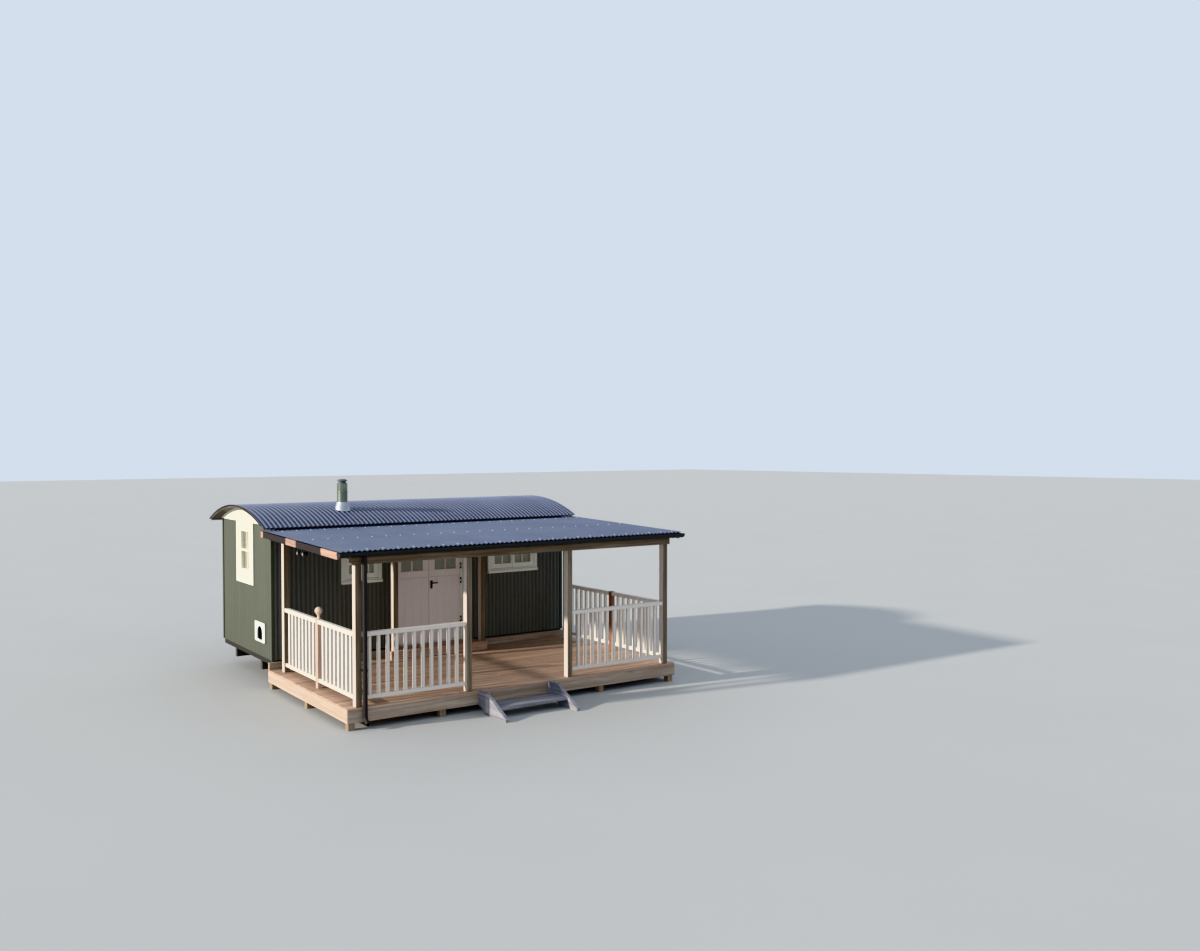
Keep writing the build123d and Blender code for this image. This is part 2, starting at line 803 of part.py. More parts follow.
# Doorstep: a timber box that fits between the two posts beside the door and reaches past them
neck_front = rear_post_y - post / 2 - step_clear
step_front = front - step_reach
with BuildPart() as door_step:
    with BuildSketch(Plane.XY.offset(deck_top)):
        with Locations(((step_neck_left + step_neck_right) / 2, (neck_front + frame_front) / 2)):
            Rectangle(step_neck_right - step_neck_left, frame_front - neck_front)
        with Locations((0, (step_front + neck_front) / 2)):
            Rectangle(2 * step_half_length, neck_front - step_front)
    extrude(amount=step_height)
door_step.part.label = "door_step"
export_step(door_step.part, "parts/door_step.step")

# Posts: four along the front edge, and four by the wall
with BuildPart() as front_posts:
    with BuildSketch(Plane.XY.offset(deck_top)):
        with Locations(*[(x, post_y) for x in (-post_x, inner_left_x, inner_right_x, post_x)]):
            Rectangle(post, post)
    extrude(amount=beam_bottom - deck_top)
front_posts.part.label = "front_posts"
export_step(front_posts.part, "parts/front_posts.step")

with BuildPart() as rear_posts:
    with BuildSketch(Plane.XY.offset(deck_top)):
        with Locations(*[(x, rear_post_y) for x in (-post_x, left_door_post, right_door_post, post_x)]):
            Rectangle(post, post)
    extrude(amount=rear_post_top - deck_top)
rear_posts.part.label = "rear_posts"
export_step(rear_posts.part, "parts/rear_posts.step")


def sloped_bar(x0, x1, y0, y1, drop, base0, base1):
    """Adds a bar whose top follows the fall of the verandah roof, a drop below the top of the sheet."""
    with BuildSketch(Plane.YZ.offset(x0)) as profile:
        with BuildLine():
            Polyline(
                (y0, base0),
                (y1, base1),
                (y1, sheet_top(y1) - drop),
                (y0, sheet_top(y0) - drop),
                close=True,
            )
        make_face()
    extrude(profile.sketch, amount=x1 - x0)


# Beams on both rows of posts, with their tops planed to the fall of the sheet
beam_half = roof_half - barge_set_in - barge_thickness
beam_back = post_face + post
rear_beam_front = rear_post_y - post / 2
rear_beam_back = rear_beam_front + post
front_beam_half = post_x + post / 2 + beam_past_posts
with BuildPart() as front_beam:
    sloped_bar(-front_beam_half, front_beam_half, post_face, beam_back, sheet, beam_bottom, beam_bottom)
front_beam.part.label = "front_beam"
export_step(front_beam.part, "parts/front_beam.step")

with BuildPart() as rear_beam:
    sloped_bar(-beam_half, beam_half, rear_beam_front, rear_beam_back, sheet, rear_post_top, rear_post_top)
rear_beam.part.label = "rear_beam"
export_step(rear_beam.part, "parts/rear_beam.step")

# Rafters between the beams, and purlins across them under the sheet
rafter_drop = sheet + purlin_height
with BuildPart() as verandah_rafters:
    base0 = sheet_top(beam_back) - rafter_drop - rafter_depth
    base1 = sheet_top(rear_beam_front) - rafter_drop - rafter_depth
    for x in (-post_x, inner_left_x, inner_right_x, post_x):
        x0 = x - rafter_width / 2
        sloped_bar(x0, x0 + rafter_width, beam_back, rear_beam_front, rafter_drop, base0, base1)
verandah_rafters.part.label = "verandah_rafters"
export_step(verandah_rafters.part, "parts/verandah_rafters.step")

purlin_step = (rear_beam_front - beam_back) / (purlin_count + 1)
with BuildPart() as verandah_purlins:
    for k in range(purlin_count):
        y0 = beam_back + (k + 1) * purlin_step - purlin_width / 2
        y1 = y0 + purlin_width
        base0 = sheet_top(y0) - rafter_drop
        base1 = sheet_top(y1) - rafter_drop
        sloped_bar(-beam_half, beam_half, y0, y1, sheet, base0, base1)
verandah_purlins.part.label = "verandah_purlins"
export_step(verandah_purlins.part, "parts/verandah_purlins.step")

# Roof sheets of the verandah, which pass under the eave of the bow
sheet_run = (front - sheet_wall_gap - sheet_front) * sqrt(1 + sheet_fall**2)
sheet_base = sheet_front_height - sheet
with BuildPart() as verandah_roof:
    with BuildSketch(Plane.XZ.offset(-sheet_front)):
        with BuildLine():
            crests = [(x, sheet_front_height - depth) for x, depth in roof_waves]
            Polyline(*crests, (roof_half, sheet_base), (-roof_half, sheet_base), close=True)
        make_face()
    extrude(amount=sheet_run, dir=(0, 1, sheet_fall))
verandah_roof.part.label = "verandah_roof"
export_step(verandah_roof.part, "parts/verandah_roof.step")

# Barge boards over the ends of the beams and purlins
with BuildPart() as barge_boards:
    barge_back = front - kerb_thickness
    base0 = sheet_top(post_face) - sheet - barge_depth
    base1 = sheet_top(barge_back) - sheet - barge_depth
    for x0 in (-beam_half - barge_thickness, beam_half):
        sloped_bar(x0, x0 + barge_thickness, post_face, barge_back, sheet, base0, base1)
barge_boards.part.label = "barge_boards"
export_step(barge_boards.part, "parts/barge_boards.step")

# Half-round gutter in lengths along the front beam, with closed ends and one outlet
gutter_y = post_face - gutter_radius
gutter_rim = sheet_front_height - sheet - gutter_drop
gutter_bend = gutter_rim - gutter_side
outlet_x = -post_x + post / 2 + downpipe_offset


def gutter_outline(radius, mode):
    """Draws a half round with short upright sides below the rim of the gutter."""
    with Locations((gutter_y, gutter_bend)):
        Circle(radius, mode=mode)
    with Locations((gutter_y, gutter_rim - gutter_side / 2)):
        Rectangle(2 * radius, gutter_side, mode=mode)


gutter_run = (roof_length - (gutter_lengths - 1) * gutter_joint) / gutter_lengths
with BuildPart() as gutter:
    for k in range(gutter_lengths):
        with BuildSketch(Plane.YZ.offset(-roof_half + k * (gutter_run + gutter_joint))):
            gutter_outline(gutter_radius, Mode.ADD)
            gutter_outline(gutter_radius - gutter_wall, Mode.SUBTRACT)
            with Locations((gutter_y, gutter_rim - gutter_radius)):
                Rectangle(2 * gutter_radius, 2 * gutter_radius, mode=Mode.INTERSECT)
        extrude(amount=gutter_run)
    for x in (-roof_half, roof_half - gutter_wall):
        with BuildSketch(Plane.YZ.offset(x)):
            gutter_outline(gutter_radius, Mode.ADD)
            with Locations((gutter_y, gutter_rim - gutter_radius)):
                Rectangle(2 * gutter_radius, 2 * gutter_radius, mode=Mode.INTERSECT)
        extrude(amount=gutter_wall)
    with BuildSketch(Plane.XY.offset(gutter_bend)):
        with Locations((outlet_x, gutter_y)):
            Circle(downpipe_radius)
    extrude(amount=-2 * gutter_radius, mode=Mode.SUBTRACT)
gutter.part.label = "gutter"
export_step(gutter.part, "parts/gutter.step")

# Downpipe from the gutter's outlet to a shoe over the ground, with two clips on the corner post
downpipe_top = gutter_bend - gutter_radius + gutter_wall
clip_left = outlet_x - downpipe_offset - clip_width
with BuildPart() as downpipe:
    with BuildLine() as downpipe_path:
        FilletPolyline(
            (outlet_x, gutter_y, downpipe_top),
            (outlet_x, gutter_y, downpipe_knee),
            (outlet_x, gutter_y - shoe_reach, downpipe_knee - shoe_drop),
            radius=shoe_bend,
        )
    with BuildSketch(Plane.XY.offset(downpipe_top)):
        with Locations((outlet_x, gutter_y)):
            Circle(downpipe_radius)
            Circle(downpipe_radius - downpipe_wall, mode=Mode.SUBTRACT)
    sweep(path=downpipe_path.wire())
    for height in clip_heights:
        with BuildSketch(Plane.XY.offset(height)):
            with Locations(((clip_left + outlet_x) / 2, (gutter_y + post_face) / 2)):
                Rectangle(outlet_x - clip_left, post_face - gutter_y)
            with Locations((outlet_x, gutter_y)):
                Circle(downpipe_radius - downpipe_wall / 2, mode=Mode.SUBTRACT)
        extrude(amount=clip_height)
downpipe.part.label = "downpipe"
export_step(downpipe.part, "parts/downpipe.step")


def balustrade(plane, start, end, count):
    """Adds a panel of two rails and square balusters between two places on a plane."""
    length = end - start
    middle = (start + end) / 2
    low = deck_top + rail_foot
    clear_low = low + bottom_rail_height
    clear_high = rail_top - top_rail_height
    with BuildSketch(plane) as profile:
        with Locations((middle, rail_top - top_rail_height / 2)):
            Rectangle(length, top_rail_height)
    extrude(profile.sketch, amount=top_rail_width / 2, both=True)
    with BuildSketch(plane) as profile:
        with Locations((middle, low + bottom_rail_height / 2)):
            Rectangle(length, bottom_rail_height)
    extrude(profile.sketch, amount=bottom_rail_width / 2, both=True)
    with BuildSketch(plane) as profile:
        with Locations((middle, (clear_low + clear_high) / 2)):
            with GridLocations(length / (count + 1), 0, count, 1):
                Rectangle(baluster, clear_high - clear_low)
    extrude(profile.sketch, amount=baluster / 2, both=True)


# Balustrades: one in each outer bay of the front, and two panels with a newel between them at each side
front_plane = Plane.XZ.offset(-post_y)
with BuildPart() as front_left_balustrade:
    balustrade(front_plane, -post_x + post / 2, inner_left_x - post / 2, left_bay_balusters)
front_left_balustrade.part.label = "front_left_balustrade"
export_step(front_left_balustrade.part, "parts/front_left_balustrade.step")

with BuildPart() as front_right_balustrade:
    balustrade(front_plane, inner_right_x + post / 2, post_x - post / 2, right_bay_balusters)
front_right_balustrade.part.label = "front_right_balustrade"
export_step(front_right_balustrade.part, "parts/front_right_balustrade.step")

newel_y = (beam_back + rear_beam_front) / 2
for name, x in (("left_balustrade", -post_x), ("right_balustrade", post_x)):
    with BuildPart() as side_balustrade:
        balustrade(Plane.YZ.offset(x), beam_back, newel_y - newel / 2, side_balusters)
        balustrade(Plane.YZ.offset(x), newel_y + newel / 2, rear_beam_front, side_balusters)
    side_balustrade.part.label = name
    export_step(side_balustrade.part, f"parts/{name}.step")

# Newels in the middle of both sides, the left one with a ball on a short neck
newel_top = rail_top + newel_rise
with BuildPart() as side_newels:
    with BuildSketch(Plane.XY.offset(deck_top)):
        with Locations((-post_x, newel_y), (post_x, newel_y)):
            Rectangle(newel, newel)
    extrude(amount=newel_top - deck_top)
    with BuildSketch(Plane.XY.offset(newel_top)):
        with Locations((-post_x, newel_y)):
            Circle(ball_neck_radius)
    extrude(amount=ball_lift)
    with Locations((-post_x, newel_y, newel_top + ball_lift)):
        Sphere(ball_radius)
side_newels.part.label = "side_newels"
export_step(side_newels.part, "parts/side_newels.step")

# Steps at the open bay: two stringers with flat tops, and one tread halfway up
with BuildPart() as step_stringers:
    for x0 in (steps_left, steps_left + steps_width - stringer):
        with BuildSketch(Plane.YZ.offset(x0)):
            with BuildLine():
                Polyline(
                    (deck_front, stringer_root),
                    (deck_front - stringer_heel, 0),
                    (deck_front - steps_reach, 0),
                    (deck_front - steps_reach, stringer_toe),
                    (deck_front - steps_flat, deck_top),
                    (deck_front, deck_top),
                    close=True,
                )
            make_face()
        extrude(amount=stringer)
step_stringers.part.label = "step_stringers"
export_step(step_stringers.part, "parts/step_stringers.step")

with BuildPart() as step_tread:
    with BuildSketch(Plane.XY.offset(tread_top - tread_thickness)):
        with Locations((steps_left + steps_width / 2, deck_front - tread_back - tread_depth / 2)):
            Rectangle(steps_width - 2 * stringer, tread_depth)
    extrude(amount=tread_thickness)
step_tread.part.label = "step_tread"
export_step(step_tread.part, "parts/step_tread.step")

# Porch light: a stem on the inner face of the left barge board, a bar, and two round heads
light_y = front - light_from_wall
light_top = sheet_top(light_y) - sheet - barge_depth + light_lap
light_x = -beam_half + light_stem / 2
with BuildPart() as porch_light:
    with BuildSketch(Plane.XY.offset(light_height)):
        with Locations((light_x, light_y)):
            Rectangle(light_stem, light_stem)
    extrude(amount=light_top - light_height)
    with BuildSketch(Plane.XZ.offset(-light_y)):
        with Locations((light_x, light_height)):
            Rectangle(light_stem, light_stem)
    extrude(amount=light_spread / 2, both=True)
    with BuildSketch(Plane.YZ.offset(light_x)):
        with Locations((light_y, light_height)):
            with GridLocations(light_spread, 0, 2, 1):
                Circle(light_head_radius)
    extrude(amount=light_head_length / 2, both=True)
porch_light.part.label = "porch_light"
export_step(porch_light.part, "parts/porch_light.step")
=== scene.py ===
import math
import random
import bmesh
import bpy
from mathutils import Matrix, Vector


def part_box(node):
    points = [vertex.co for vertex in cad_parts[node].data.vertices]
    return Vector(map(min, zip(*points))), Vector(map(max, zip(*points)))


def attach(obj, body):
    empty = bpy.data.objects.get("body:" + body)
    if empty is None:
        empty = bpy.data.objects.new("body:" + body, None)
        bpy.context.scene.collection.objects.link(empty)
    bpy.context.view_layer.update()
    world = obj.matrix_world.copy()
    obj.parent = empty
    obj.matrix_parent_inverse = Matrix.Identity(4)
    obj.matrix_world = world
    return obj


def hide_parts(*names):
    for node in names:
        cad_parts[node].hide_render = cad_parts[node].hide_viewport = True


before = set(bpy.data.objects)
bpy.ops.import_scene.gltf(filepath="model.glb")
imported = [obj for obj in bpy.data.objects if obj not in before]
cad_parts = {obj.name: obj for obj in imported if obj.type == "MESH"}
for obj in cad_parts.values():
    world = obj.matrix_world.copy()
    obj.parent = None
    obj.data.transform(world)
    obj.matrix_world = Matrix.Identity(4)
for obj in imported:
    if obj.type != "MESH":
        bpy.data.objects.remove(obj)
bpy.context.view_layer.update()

# Camera: at the photograph's place, in front of the verandah and to its left, a little above the eaves.
# Lengths here are in metres, and the photograph's own are in pixels.
photo_width = 1200
photo_focal = 1032.1
photo_middle = 450
sensor = 36
camera_place = (-8.335, -14.276, 3.615)
yaw, pitch_down, roll = math.radians(30.589), math.radians(1.438), math.radians(-0.224)
camera = bpy.data.objects.new("camera", bpy.data.cameras.new("camera"))
camera.data.sensor_width = sensor
camera.data.lens = photo_focal / photo_width * sensor
camera.data.shift_x = 0.5 - photo_middle / photo_width
turn = Matrix.Rotation(-yaw, 4, "Z") @ Matrix.Rotation(math.pi / 2 - pitch_down, 4, "X")
camera.matrix_world = Matrix.Translation(camera_place) @ turn @ Matrix.Rotation(roll, 4, "Z")
bpy.context.scene.collection.objects.link(camera)
bpy.context.scene.camera = camera

# Studio light: a low lamp to the left and a little behind, as the evening sun stands, and pale light from
# all round.
lamp_colour = (1.0, 0.93, 0.83)
lamp_strength = 5.4
lamp_spread = math.radians(2)
lamp_way = Vector((0.92, -0.12, -0.28))
sky_colour = (0.78, 0.87, 1.0, 1)
sky_strength = 0.95
lamp = bpy.data.objects.new("lamp", bpy.data.lights.new("lamp", "SUN"))
lamp.data.energy = lamp_strength
lamp.data.angle = lamp_spread
lamp.data.color = lamp_colour
lamp.rotation_euler = lamp_way.to_track_quat("-Z", "Y").to_euler()
bpy.context.scene.collection.objects.link(lamp)
world = bpy.data.worlds.new("studio")
world.use_nodes = True
world.node_tree.nodes["Background"].inputs["Color"].default_value = sky_colour
world.node_tree.nodes["Background"].inputs["Strength"].default_value = sky_strength
bpy.context.scene.world = world
bpy.context.scene.view_settings.view_transform = "Khronos PBR Neutral"


# Studio floor: a wide matt plane of pale grey, faintly clouded, which isn't part of the hut. Its finish is
# the first one, so what makes finishes is defined here.
class Shade:
    """A socket of a finish; plus and times with sockets or numbers add Math nodes."""

    def __init__(self, finish, socket):
        self.finish = finish
        self.socket = socket

    def combine(self, operation, first, second):
        return self.finish.add("Math", {"operation": operation}, {0: first, 1: second})

    def __add__(self, other):
        return self.combine("ADD", self, other)

    def __radd__(self, other):
        return self.combine("ADD", other, self)

    def __mul__(self, other):
        return self.combine("MULTIPLY", self, other)

    def __rmul__(self, other):
        return self.combine("MULTIPLY", other, self)


class Finish:
    """A material whose nodes are added one by one."""

    def __init__(self, name, **constants):
        self.material = bpy.data.materials.new(name)
        self.material.use_nodes = True
        self.tree = self.material.node_tree
        self.shader = self.tree.nodes["Principled BSDF"]
        for socket, value in constants.items():
            self.shader.inputs[socket.replace("_", " ")].default_value = value
        self.place = self.add("TexCoord", output="Object")

    def add(self, kind, settings=None, sockets=None, output=0):
        """Adds a node of any kind, sets it up, and gives or links its sockets."""
        made = self.tree.nodes.new("ShaderNode" + kind)
        for name, value in (settings or {}).items():
            if name == "stops":
                for _ in value[2:]:
                    made.color_ramp.elements.new(1.0)
                for element, (position, colour) in zip(made.color_ramp.elements, value):
                    element.position = position
                    element.color = (*colour, 1)
            else:
                setattr(made, name, value)
        for name, value in (sockets or {}).items():
            self.feed(made.inputs[name], value)
        return Shade(self, made.outputs[output])

    def feed(self, socket, value):
        """Links a socket to a shade, or gives it a plain value."""
        if isinstance(value, Shade):
            self.tree.links.new(value.socket, socket)
        else:
            socket.default_value = value

    def noise(self, scale, stretch=(1, 1, 1), detail=5.0, shift=0.0):
        """Noise from 0 to 1 on the object's coordinates; a small stretch draws it out that way."""
        spot = self.add("Mapping", None, {"Vector": self.place, "Scale": stretch})
        sockets = {"Vector": spot, "W": shift, "Scale": scale, "Detail": detail}
        return self.add("TexNoise", {"noise_dimensions": "4D"}, sockets)

    def tone(self):
        """The tone that each board or sheet of a piece was given, from 0 to 1."""
        return self.add("Attribute", {"attribute_name": "tone"}, output="Fac")

    def part(self, vector, axis):
        """One part, X, Y or Z, of a vector."""
        return self.add("SeparateXYZ", None, {"Vector": vector}, axis)

    def between(self, factor, first, second):
        """A colour between two, mixed by a factor."""
        return self.add("Mix", {"data_type": "RGBA"}, {0: factor, 6: first, 7: second}, output=2)

    def shades(self, factor, *stops):
        """A colour ramp."""
        return self.add("ValToRGB", {"stops": stops}, {0: factor})

    def span(self, value, low, high, start=0.35, end=0.65):
        """Maps a value between start and end to one between low and high."""
        return self.add("MapRange", {"clamp": True}, {0: value, 1: start, 2: end, 3: low, 4: high})

    def dull(self, value):
        """Sets how rough the surface is."""
        self.feed(self.shader.inputs["Roughness"], value)

    def colour(self, value):
        """Sets the surface's own colour."""
        self.feed(self.shader.inputs["Base Color"], value)

    def relief(self, height, distance, strength=1.0):
        """Bumps the surface by a height, at most a distance in metres."""
        bump = self.add("Bump", None, {"Strength": strength, "Distance": distance, "Height": height})
        self.feed(self.shader.inputs["Normal"], bump)


floor_size = 240
floor_dark, floor_pale = (0.43, 0.43, 0.415, 1), (0.46, 0.46, 0.445, 1)
floor_finish = Finish("studio_floor", Roughness=0.9)
floor_finish.colour(floor_finish.between(floor_finish.noise(0.4), floor_dark, floor_pale))
floor_mesh = bmesh.new()
bmesh.ops.create_grid(floor_mesh, x_segments=1, y_segments=1, size=floor_size / 2)
floor_data = bpy.data.meshes.new("studio_floor")
floor_mesh.to_mesh(floor_data)
floor_mesh.free()
floor_data.materials.append(floor_finish.material)
floor = bpy.data.objects.new("studio_floor", floor_data)
bpy.context.scene.collection.objects.link(floor)


# Running gear: two rolled steel rails bolted under the floor, with an axle and two cast iron wheels near
# each end. Its black paint is old and dusty, and the wheels rust.
def tint(colour, by):
    """A colour made lighter or darker, with its alpha."""
    return (*(min(1.0, part * by) for part in colour), 1)


def painted_metal(name, colour, roughness, dust=(0.16, 0.14, 0.11)):
    """Old paint on iron or steel: uneven, with dust in patches."""
    finish = Finish(name)
    patches = finish.noise(7, detail=6)
    paint = finish.between(finish.noise(60), tint(colour, 0.85), tint(colour, 1.2))
    finish.colour(finish.between(finish.span(patches, 0.0, 0.35, 0.5, 0.75), paint, (*dust, 1)))
    finish.dull(finish.span(patches, roughness - 0.08, roughness + 0.15))
    finish.relief(finish.noise(160, detail=3), 0.0006, 0.4)
    return finish.material


def dress(finish, *nodes):
    """Gives CAD nodes a finish."""
    for node in nodes:
        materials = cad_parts[node].data.materials
        if not materials:
            materials.append(finish)
        for k in range(len(materials)):
            materials[k] = finish


chassis_black = (0.035, 0.034, 0.033)
wheel_iron, wheel_rust = (0.05, 0.046, 0.042), (0.2, 0.12, 0.07)
dress(painted_metal("chassis_black", chassis_black, 0.55), "chassis_rails", "axles")
dress(painted_metal("wheel_iron", wheel_iron, 0.6, wheel_rust), "wheels")


# Floor of the hut: planed boards laid lengthwise in a rim of sawn timber, which rests on the two rails and
# shows under the sheets all round. The rim is coloured nearly black, as painted shade under the walls.
def sawn_timber(name, dark, pale, along, roughness=0.7, grain=1.0, knots=0.5, painted_sunlit_face=None):
    """Bare timber with its grain along one axis; its left faces may get a paler colour, as painted
    sunlight.
    """
    finish = Finish(name)
    axis = "XYZ".index(along)
    drawn = [26.0, 26.0, 26.0]
    drawn[axis] = 1.1
    round_knot = [7.0, 7.0, 7.0]
    round_knot[axis] = 3.0
    tone = finish.tone()
    lines = finish.noise(1.0, drawn, 7.0, tone * 31)
    fibres = finish.noise(5.0, drawn, 3.0, tone * 17)
    spots = finish.noise(0.8, round_knot, 2.0, tone * 53)
    middle = [(a + b) / 2 for a, b in zip(dark, pale)]
    body = finish.shades(finish.span(lines, 0.0, 1.0, 0.3, 0.7), (0.0, dark), (0.55, middle), (1.0, pale))
    toned = finish.between(tone * 0.5, body, tint(dark, 0.95))
    streaked = finish.between(finish.span(fibres, 0.0, 0.35, 0.45, 0.7), toned, tint(dark, 0.7))
    timber = finish.between(finish.span(spots, 0.0, knots, 0.68, 0.76), streaked, tint(dark, 0.45))
    # Painted sunlight: faces turned to the left, towards the lamp, get a paler colour.
    if painted_sunlit_face:
        sunlit_colour = finish.between(lines, tint(painted_sunlit_face, 0.85), tint(painted_sunlit_face, 1.1))
        facing_x = finish.part(finish.add("TexCoord", output="Normal"), "X")
        timber = finish.between(finish.span(facing_x, 0.9, 0.0, -0.8, -0.6), timber, sunlit_colour)
    finish.colour(timber)
    finish.dull(finish.span(fibres, roughness - 0.08, roughness + 0.12))
    finish.relief(lines * 0.6 + fibres * 0.4, 0.0012 * grain, 0.7)
    return finish.material


def bars(boxes, ease, seed):
    """Makes bars from their low and high corners, each with eased edges and a tone of its own."""
    mesh = bmesh.new()
    tone = mesh.faces.layers.float.new("tone")
    draw = random.Random(seed)
    for low, high in boxes:
        size = Vector(high) - Vector(low)
        place = Matrix.Translation((Vector(low) + Vector(high)) / 2) @ Matrix.Diagonal((*size, 1))
        made = bmesh.ops.create_cube(mesh, size=1.0, matrix=place)
        shade = draw.random()
        for face in {face for vertex in made["verts"] for face in vertex.link_faces}:
            face[tone] = shade
    edges = mesh.edges[:]
    bmesh.ops.bevel(mesh, geom=edges, offset=ease, segments=1, profile=0.5, affect="EDGES", material=-1)
    return mesh


def piece(name, mesh, finish, body="hut", hides=()):
    """Makes a finished piece that rides on a body, and may hide the CAD nodes that it stands for."""
    bmesh.ops.recalc_face_normals(mesh, faces=mesh.faces[:])
    data = bpy.data.meshes.new(name)
    mesh.to_mesh(data)
    mesh.free()
    data.materials.append(finish)
    made = bpy.data.objects.new(name, data)
    bpy.context.scene.collection.objects.link(made)
    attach(made, body)
    if hides:
        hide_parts(*hides)


floor_low, floor_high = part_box("hut_floor")
rim, floor_thick, floor_gap, floor_rows = 0.060, 0.022, 0.0015, 18
board_foot = floor_high.z - floor_thick
inner_low, inner_high = floor_low + Vector((rim, rim, 0)), floor_high - Vector((rim, rim, 0))
rim_bars = [
    ((floor_low.x, floor_low.y, floor_low.z), (floor_high.x, inner_low.y, floor_high.z)),
    ((floor_low.x, inner_high.y, floor_low.z), (floor_high.x, floor_high.y, floor_high.z)),
    ((floor_low.x, inner_low.y, floor_low.z), (inner_low.x, inner_high.y, floor_high.z)),
    ((inner_high.x, inner_low.y, floor_low.z), (floor_high.x, inner_high.y, floor_high.z)),
    ((inner_low.x, inner_low.y, floor_low.z), (inner_high.x, inner_high.y, board_foot)),
]
floor_row = (inner_high.y - inner_low.y) / floor_rows
floor_planks = []
for row in range(floor_rows):
    y0 = inner_low.y + row * floor_row
    y1 = y0 + floor_row - floor_gap
    floor_planks.append(((inner_low.x, y0, board_foot), (inner_high.x, y1, floor_high.z)))
# Painted shade: the rim's timber colour is nearly black.
rim_painted_shade = sawn_timber("rim_painted_shade", (0.014, 0.012, 0.010), (0.035, 0.031, 0.027), "X")
floor_timber = sawn_timber("floor_timber", (0.20, 0.14, 0.085), (0.42, 0.31, 0.205), "X", 0.5, 0.6)
piece("floor_frame", bars(rim_bars, 0.002, 61), rim_painted_shade, hides=("hut_floor",))
piece("floor_planks", bars(floor_planks, 0.001, 62), floor_timber, hides=("hut_floor",))

# Walls: upright corrugated sheets of the common three inch pitch, eight waves wide and painted green. They
# are nailed to a boarded lining, which is the rest of the wall. The front ones, in the verandah's shade,
# get a paler, greyer green as painted light.
pitch = 0.0762
wave_depth = 0.016
wave_steps = 10
sheet_waves = 8
sheet_metal = 0.001
under_sheet = wave_depth + 0.0015


def corrugated(start, end, low, high, rows, holes=()):
    """Makes upright waves from start to end along X, crests at y = 0 and troughs behind, open at holes."""
    mesh = bmesh.new()
    count = round((end - start) / pitch)
    wave = (end - start) / count
    place = (
        Matrix.Translation(((start + end) / 2, 0, (low + high) / 2))
        @ Matrix.Rotation(math.pi / 2, 4, "X")
        @ Matrix.Diagonal((end - start, high - low, 1, 1))
    )
    bmesh.ops.create_grid(mesh, x_segments=count * wave_steps, y_segments=rows, size=0.5, matrix=place)
    for left, right, base, head in holes:
        cuts = [((x, 0, 0), (1, 0, 0)) for x in (left, right)]
        cuts += [((0, 0, z), (0, 0, 1)) for z in (base, head)]
        for spot, normal in cuts:
            geometry = mesh.verts[:] + mesh.edges[:] + mesh.faces[:]
            bmesh.ops.bisect_plane(mesh, geom=geometry, dist=1e-6, plane_co=spot, plane_no=normal)
        middles = {face: face.calc_center_median() for face in mesh.faces}
        inside = [face for face, at in middles.items() if left < at.x < right and base < at.z < head]
        bmesh.ops.delete(mesh, geom=inside, context="FACES")
    trough = mesh.verts.layers.float.new("trough")
    for vertex in mesh.verts:
        vertex[trough] = (1 - math.cos(2 * math.pi * (vertex.co.x - start) / wave)) / 2
        vertex.co.y = wave_depth * vertex[trough]
    tone = mesh.faces.layers.float.new("tone")
    draw = random.Random(round(1000 * (end + high)))
    tones = [draw.random() for _ in range(count // sheet_waves + 1)]
    for face in mesh.faces:
        face[tone] = tones[int((face.calc_center_median().x - start) / (wave * sheet_waves))]
    return mesh


def soften(mesh, angle=0.7):
    """Shades a mesh smooth, except over edges that turn by more than an angle."""
    for face in mesh.faces:
        face.smooth = True
    for edge in mesh.edges:
        edge.smooth = len(edge.link_faces) == 2 and edge.calc_face_angle(0) < angle


def sheeting(name, mesh, finish, hides=()):
    """Gives a corrugated mesh the thickness of its metal and makes a piece of it."""
    bmesh.ops.solidify(mesh, geom=mesh.faces[:], thickness=sheet_metal)
    soften(mesh)
    piece(name, mesh, finish, hides=hides)


def coated_sheet(name, colour, run, roughness, soil, trough_shade):
    """Matt paint on corrugated sheet: streaks down its run, a tone for each sheet, painted shade in the
    troughs.
    """
    finish = Finish(name, Specular_IOR_Level=0.4)
    drawn = [9.0, 9.0, 9.0]
    drawn["XYZ".index(run)] = 0.7
    clouds = finish.noise(1.3, detail=4)
    streaks = finish.noise(1.0, drawn, 6.0)
    speckle = finish.noise(90, detail=3)
    base = finish.between(finish.tone() * 0.6 + clouds * 0.4, tint(colour, 0.90), tint(colour, 1.12))
    weathered = finish.between(finish.span(streaks, 0.0, soil, 0.45, 0.72), base, tint(colour, 1.45))
    specked = finish.between(finish.span(speckle, 0.0, 0.25, 0.55, 0.7), weathered, tint(colour, 0.72))
    # Painted shade: the troughs are darkened towards a dark tint of the sheet's colour.
    trough = finish.add("Attribute", {"attribute_name": "trough"}, output="Fac")
    finish.colour(finish.between(finish.span(trough, 0.0, trough_shade, 0.30, 0.80), specked, tint(colour, 0.12)))
    finish.dull(finish.span(clouds, roughness - 0.06, roughness + 0.10))
    finish.relief(speckle, 0.0004, 0.35)
    return finish.material


def turned_to(face, angle):
    """Takes a wall's places, x along it and y into it, to the hut's."""
    return Matrix.Translation(face) @ Matrix.Rotation(angle, 4, "Z")


def window_hole(window):
    """The hole for a long wall's window, given as its middle along the wall and its width."""
    middle, width = window
    return (middle - width / 2, middle + width / 2, window_foot, window_head)


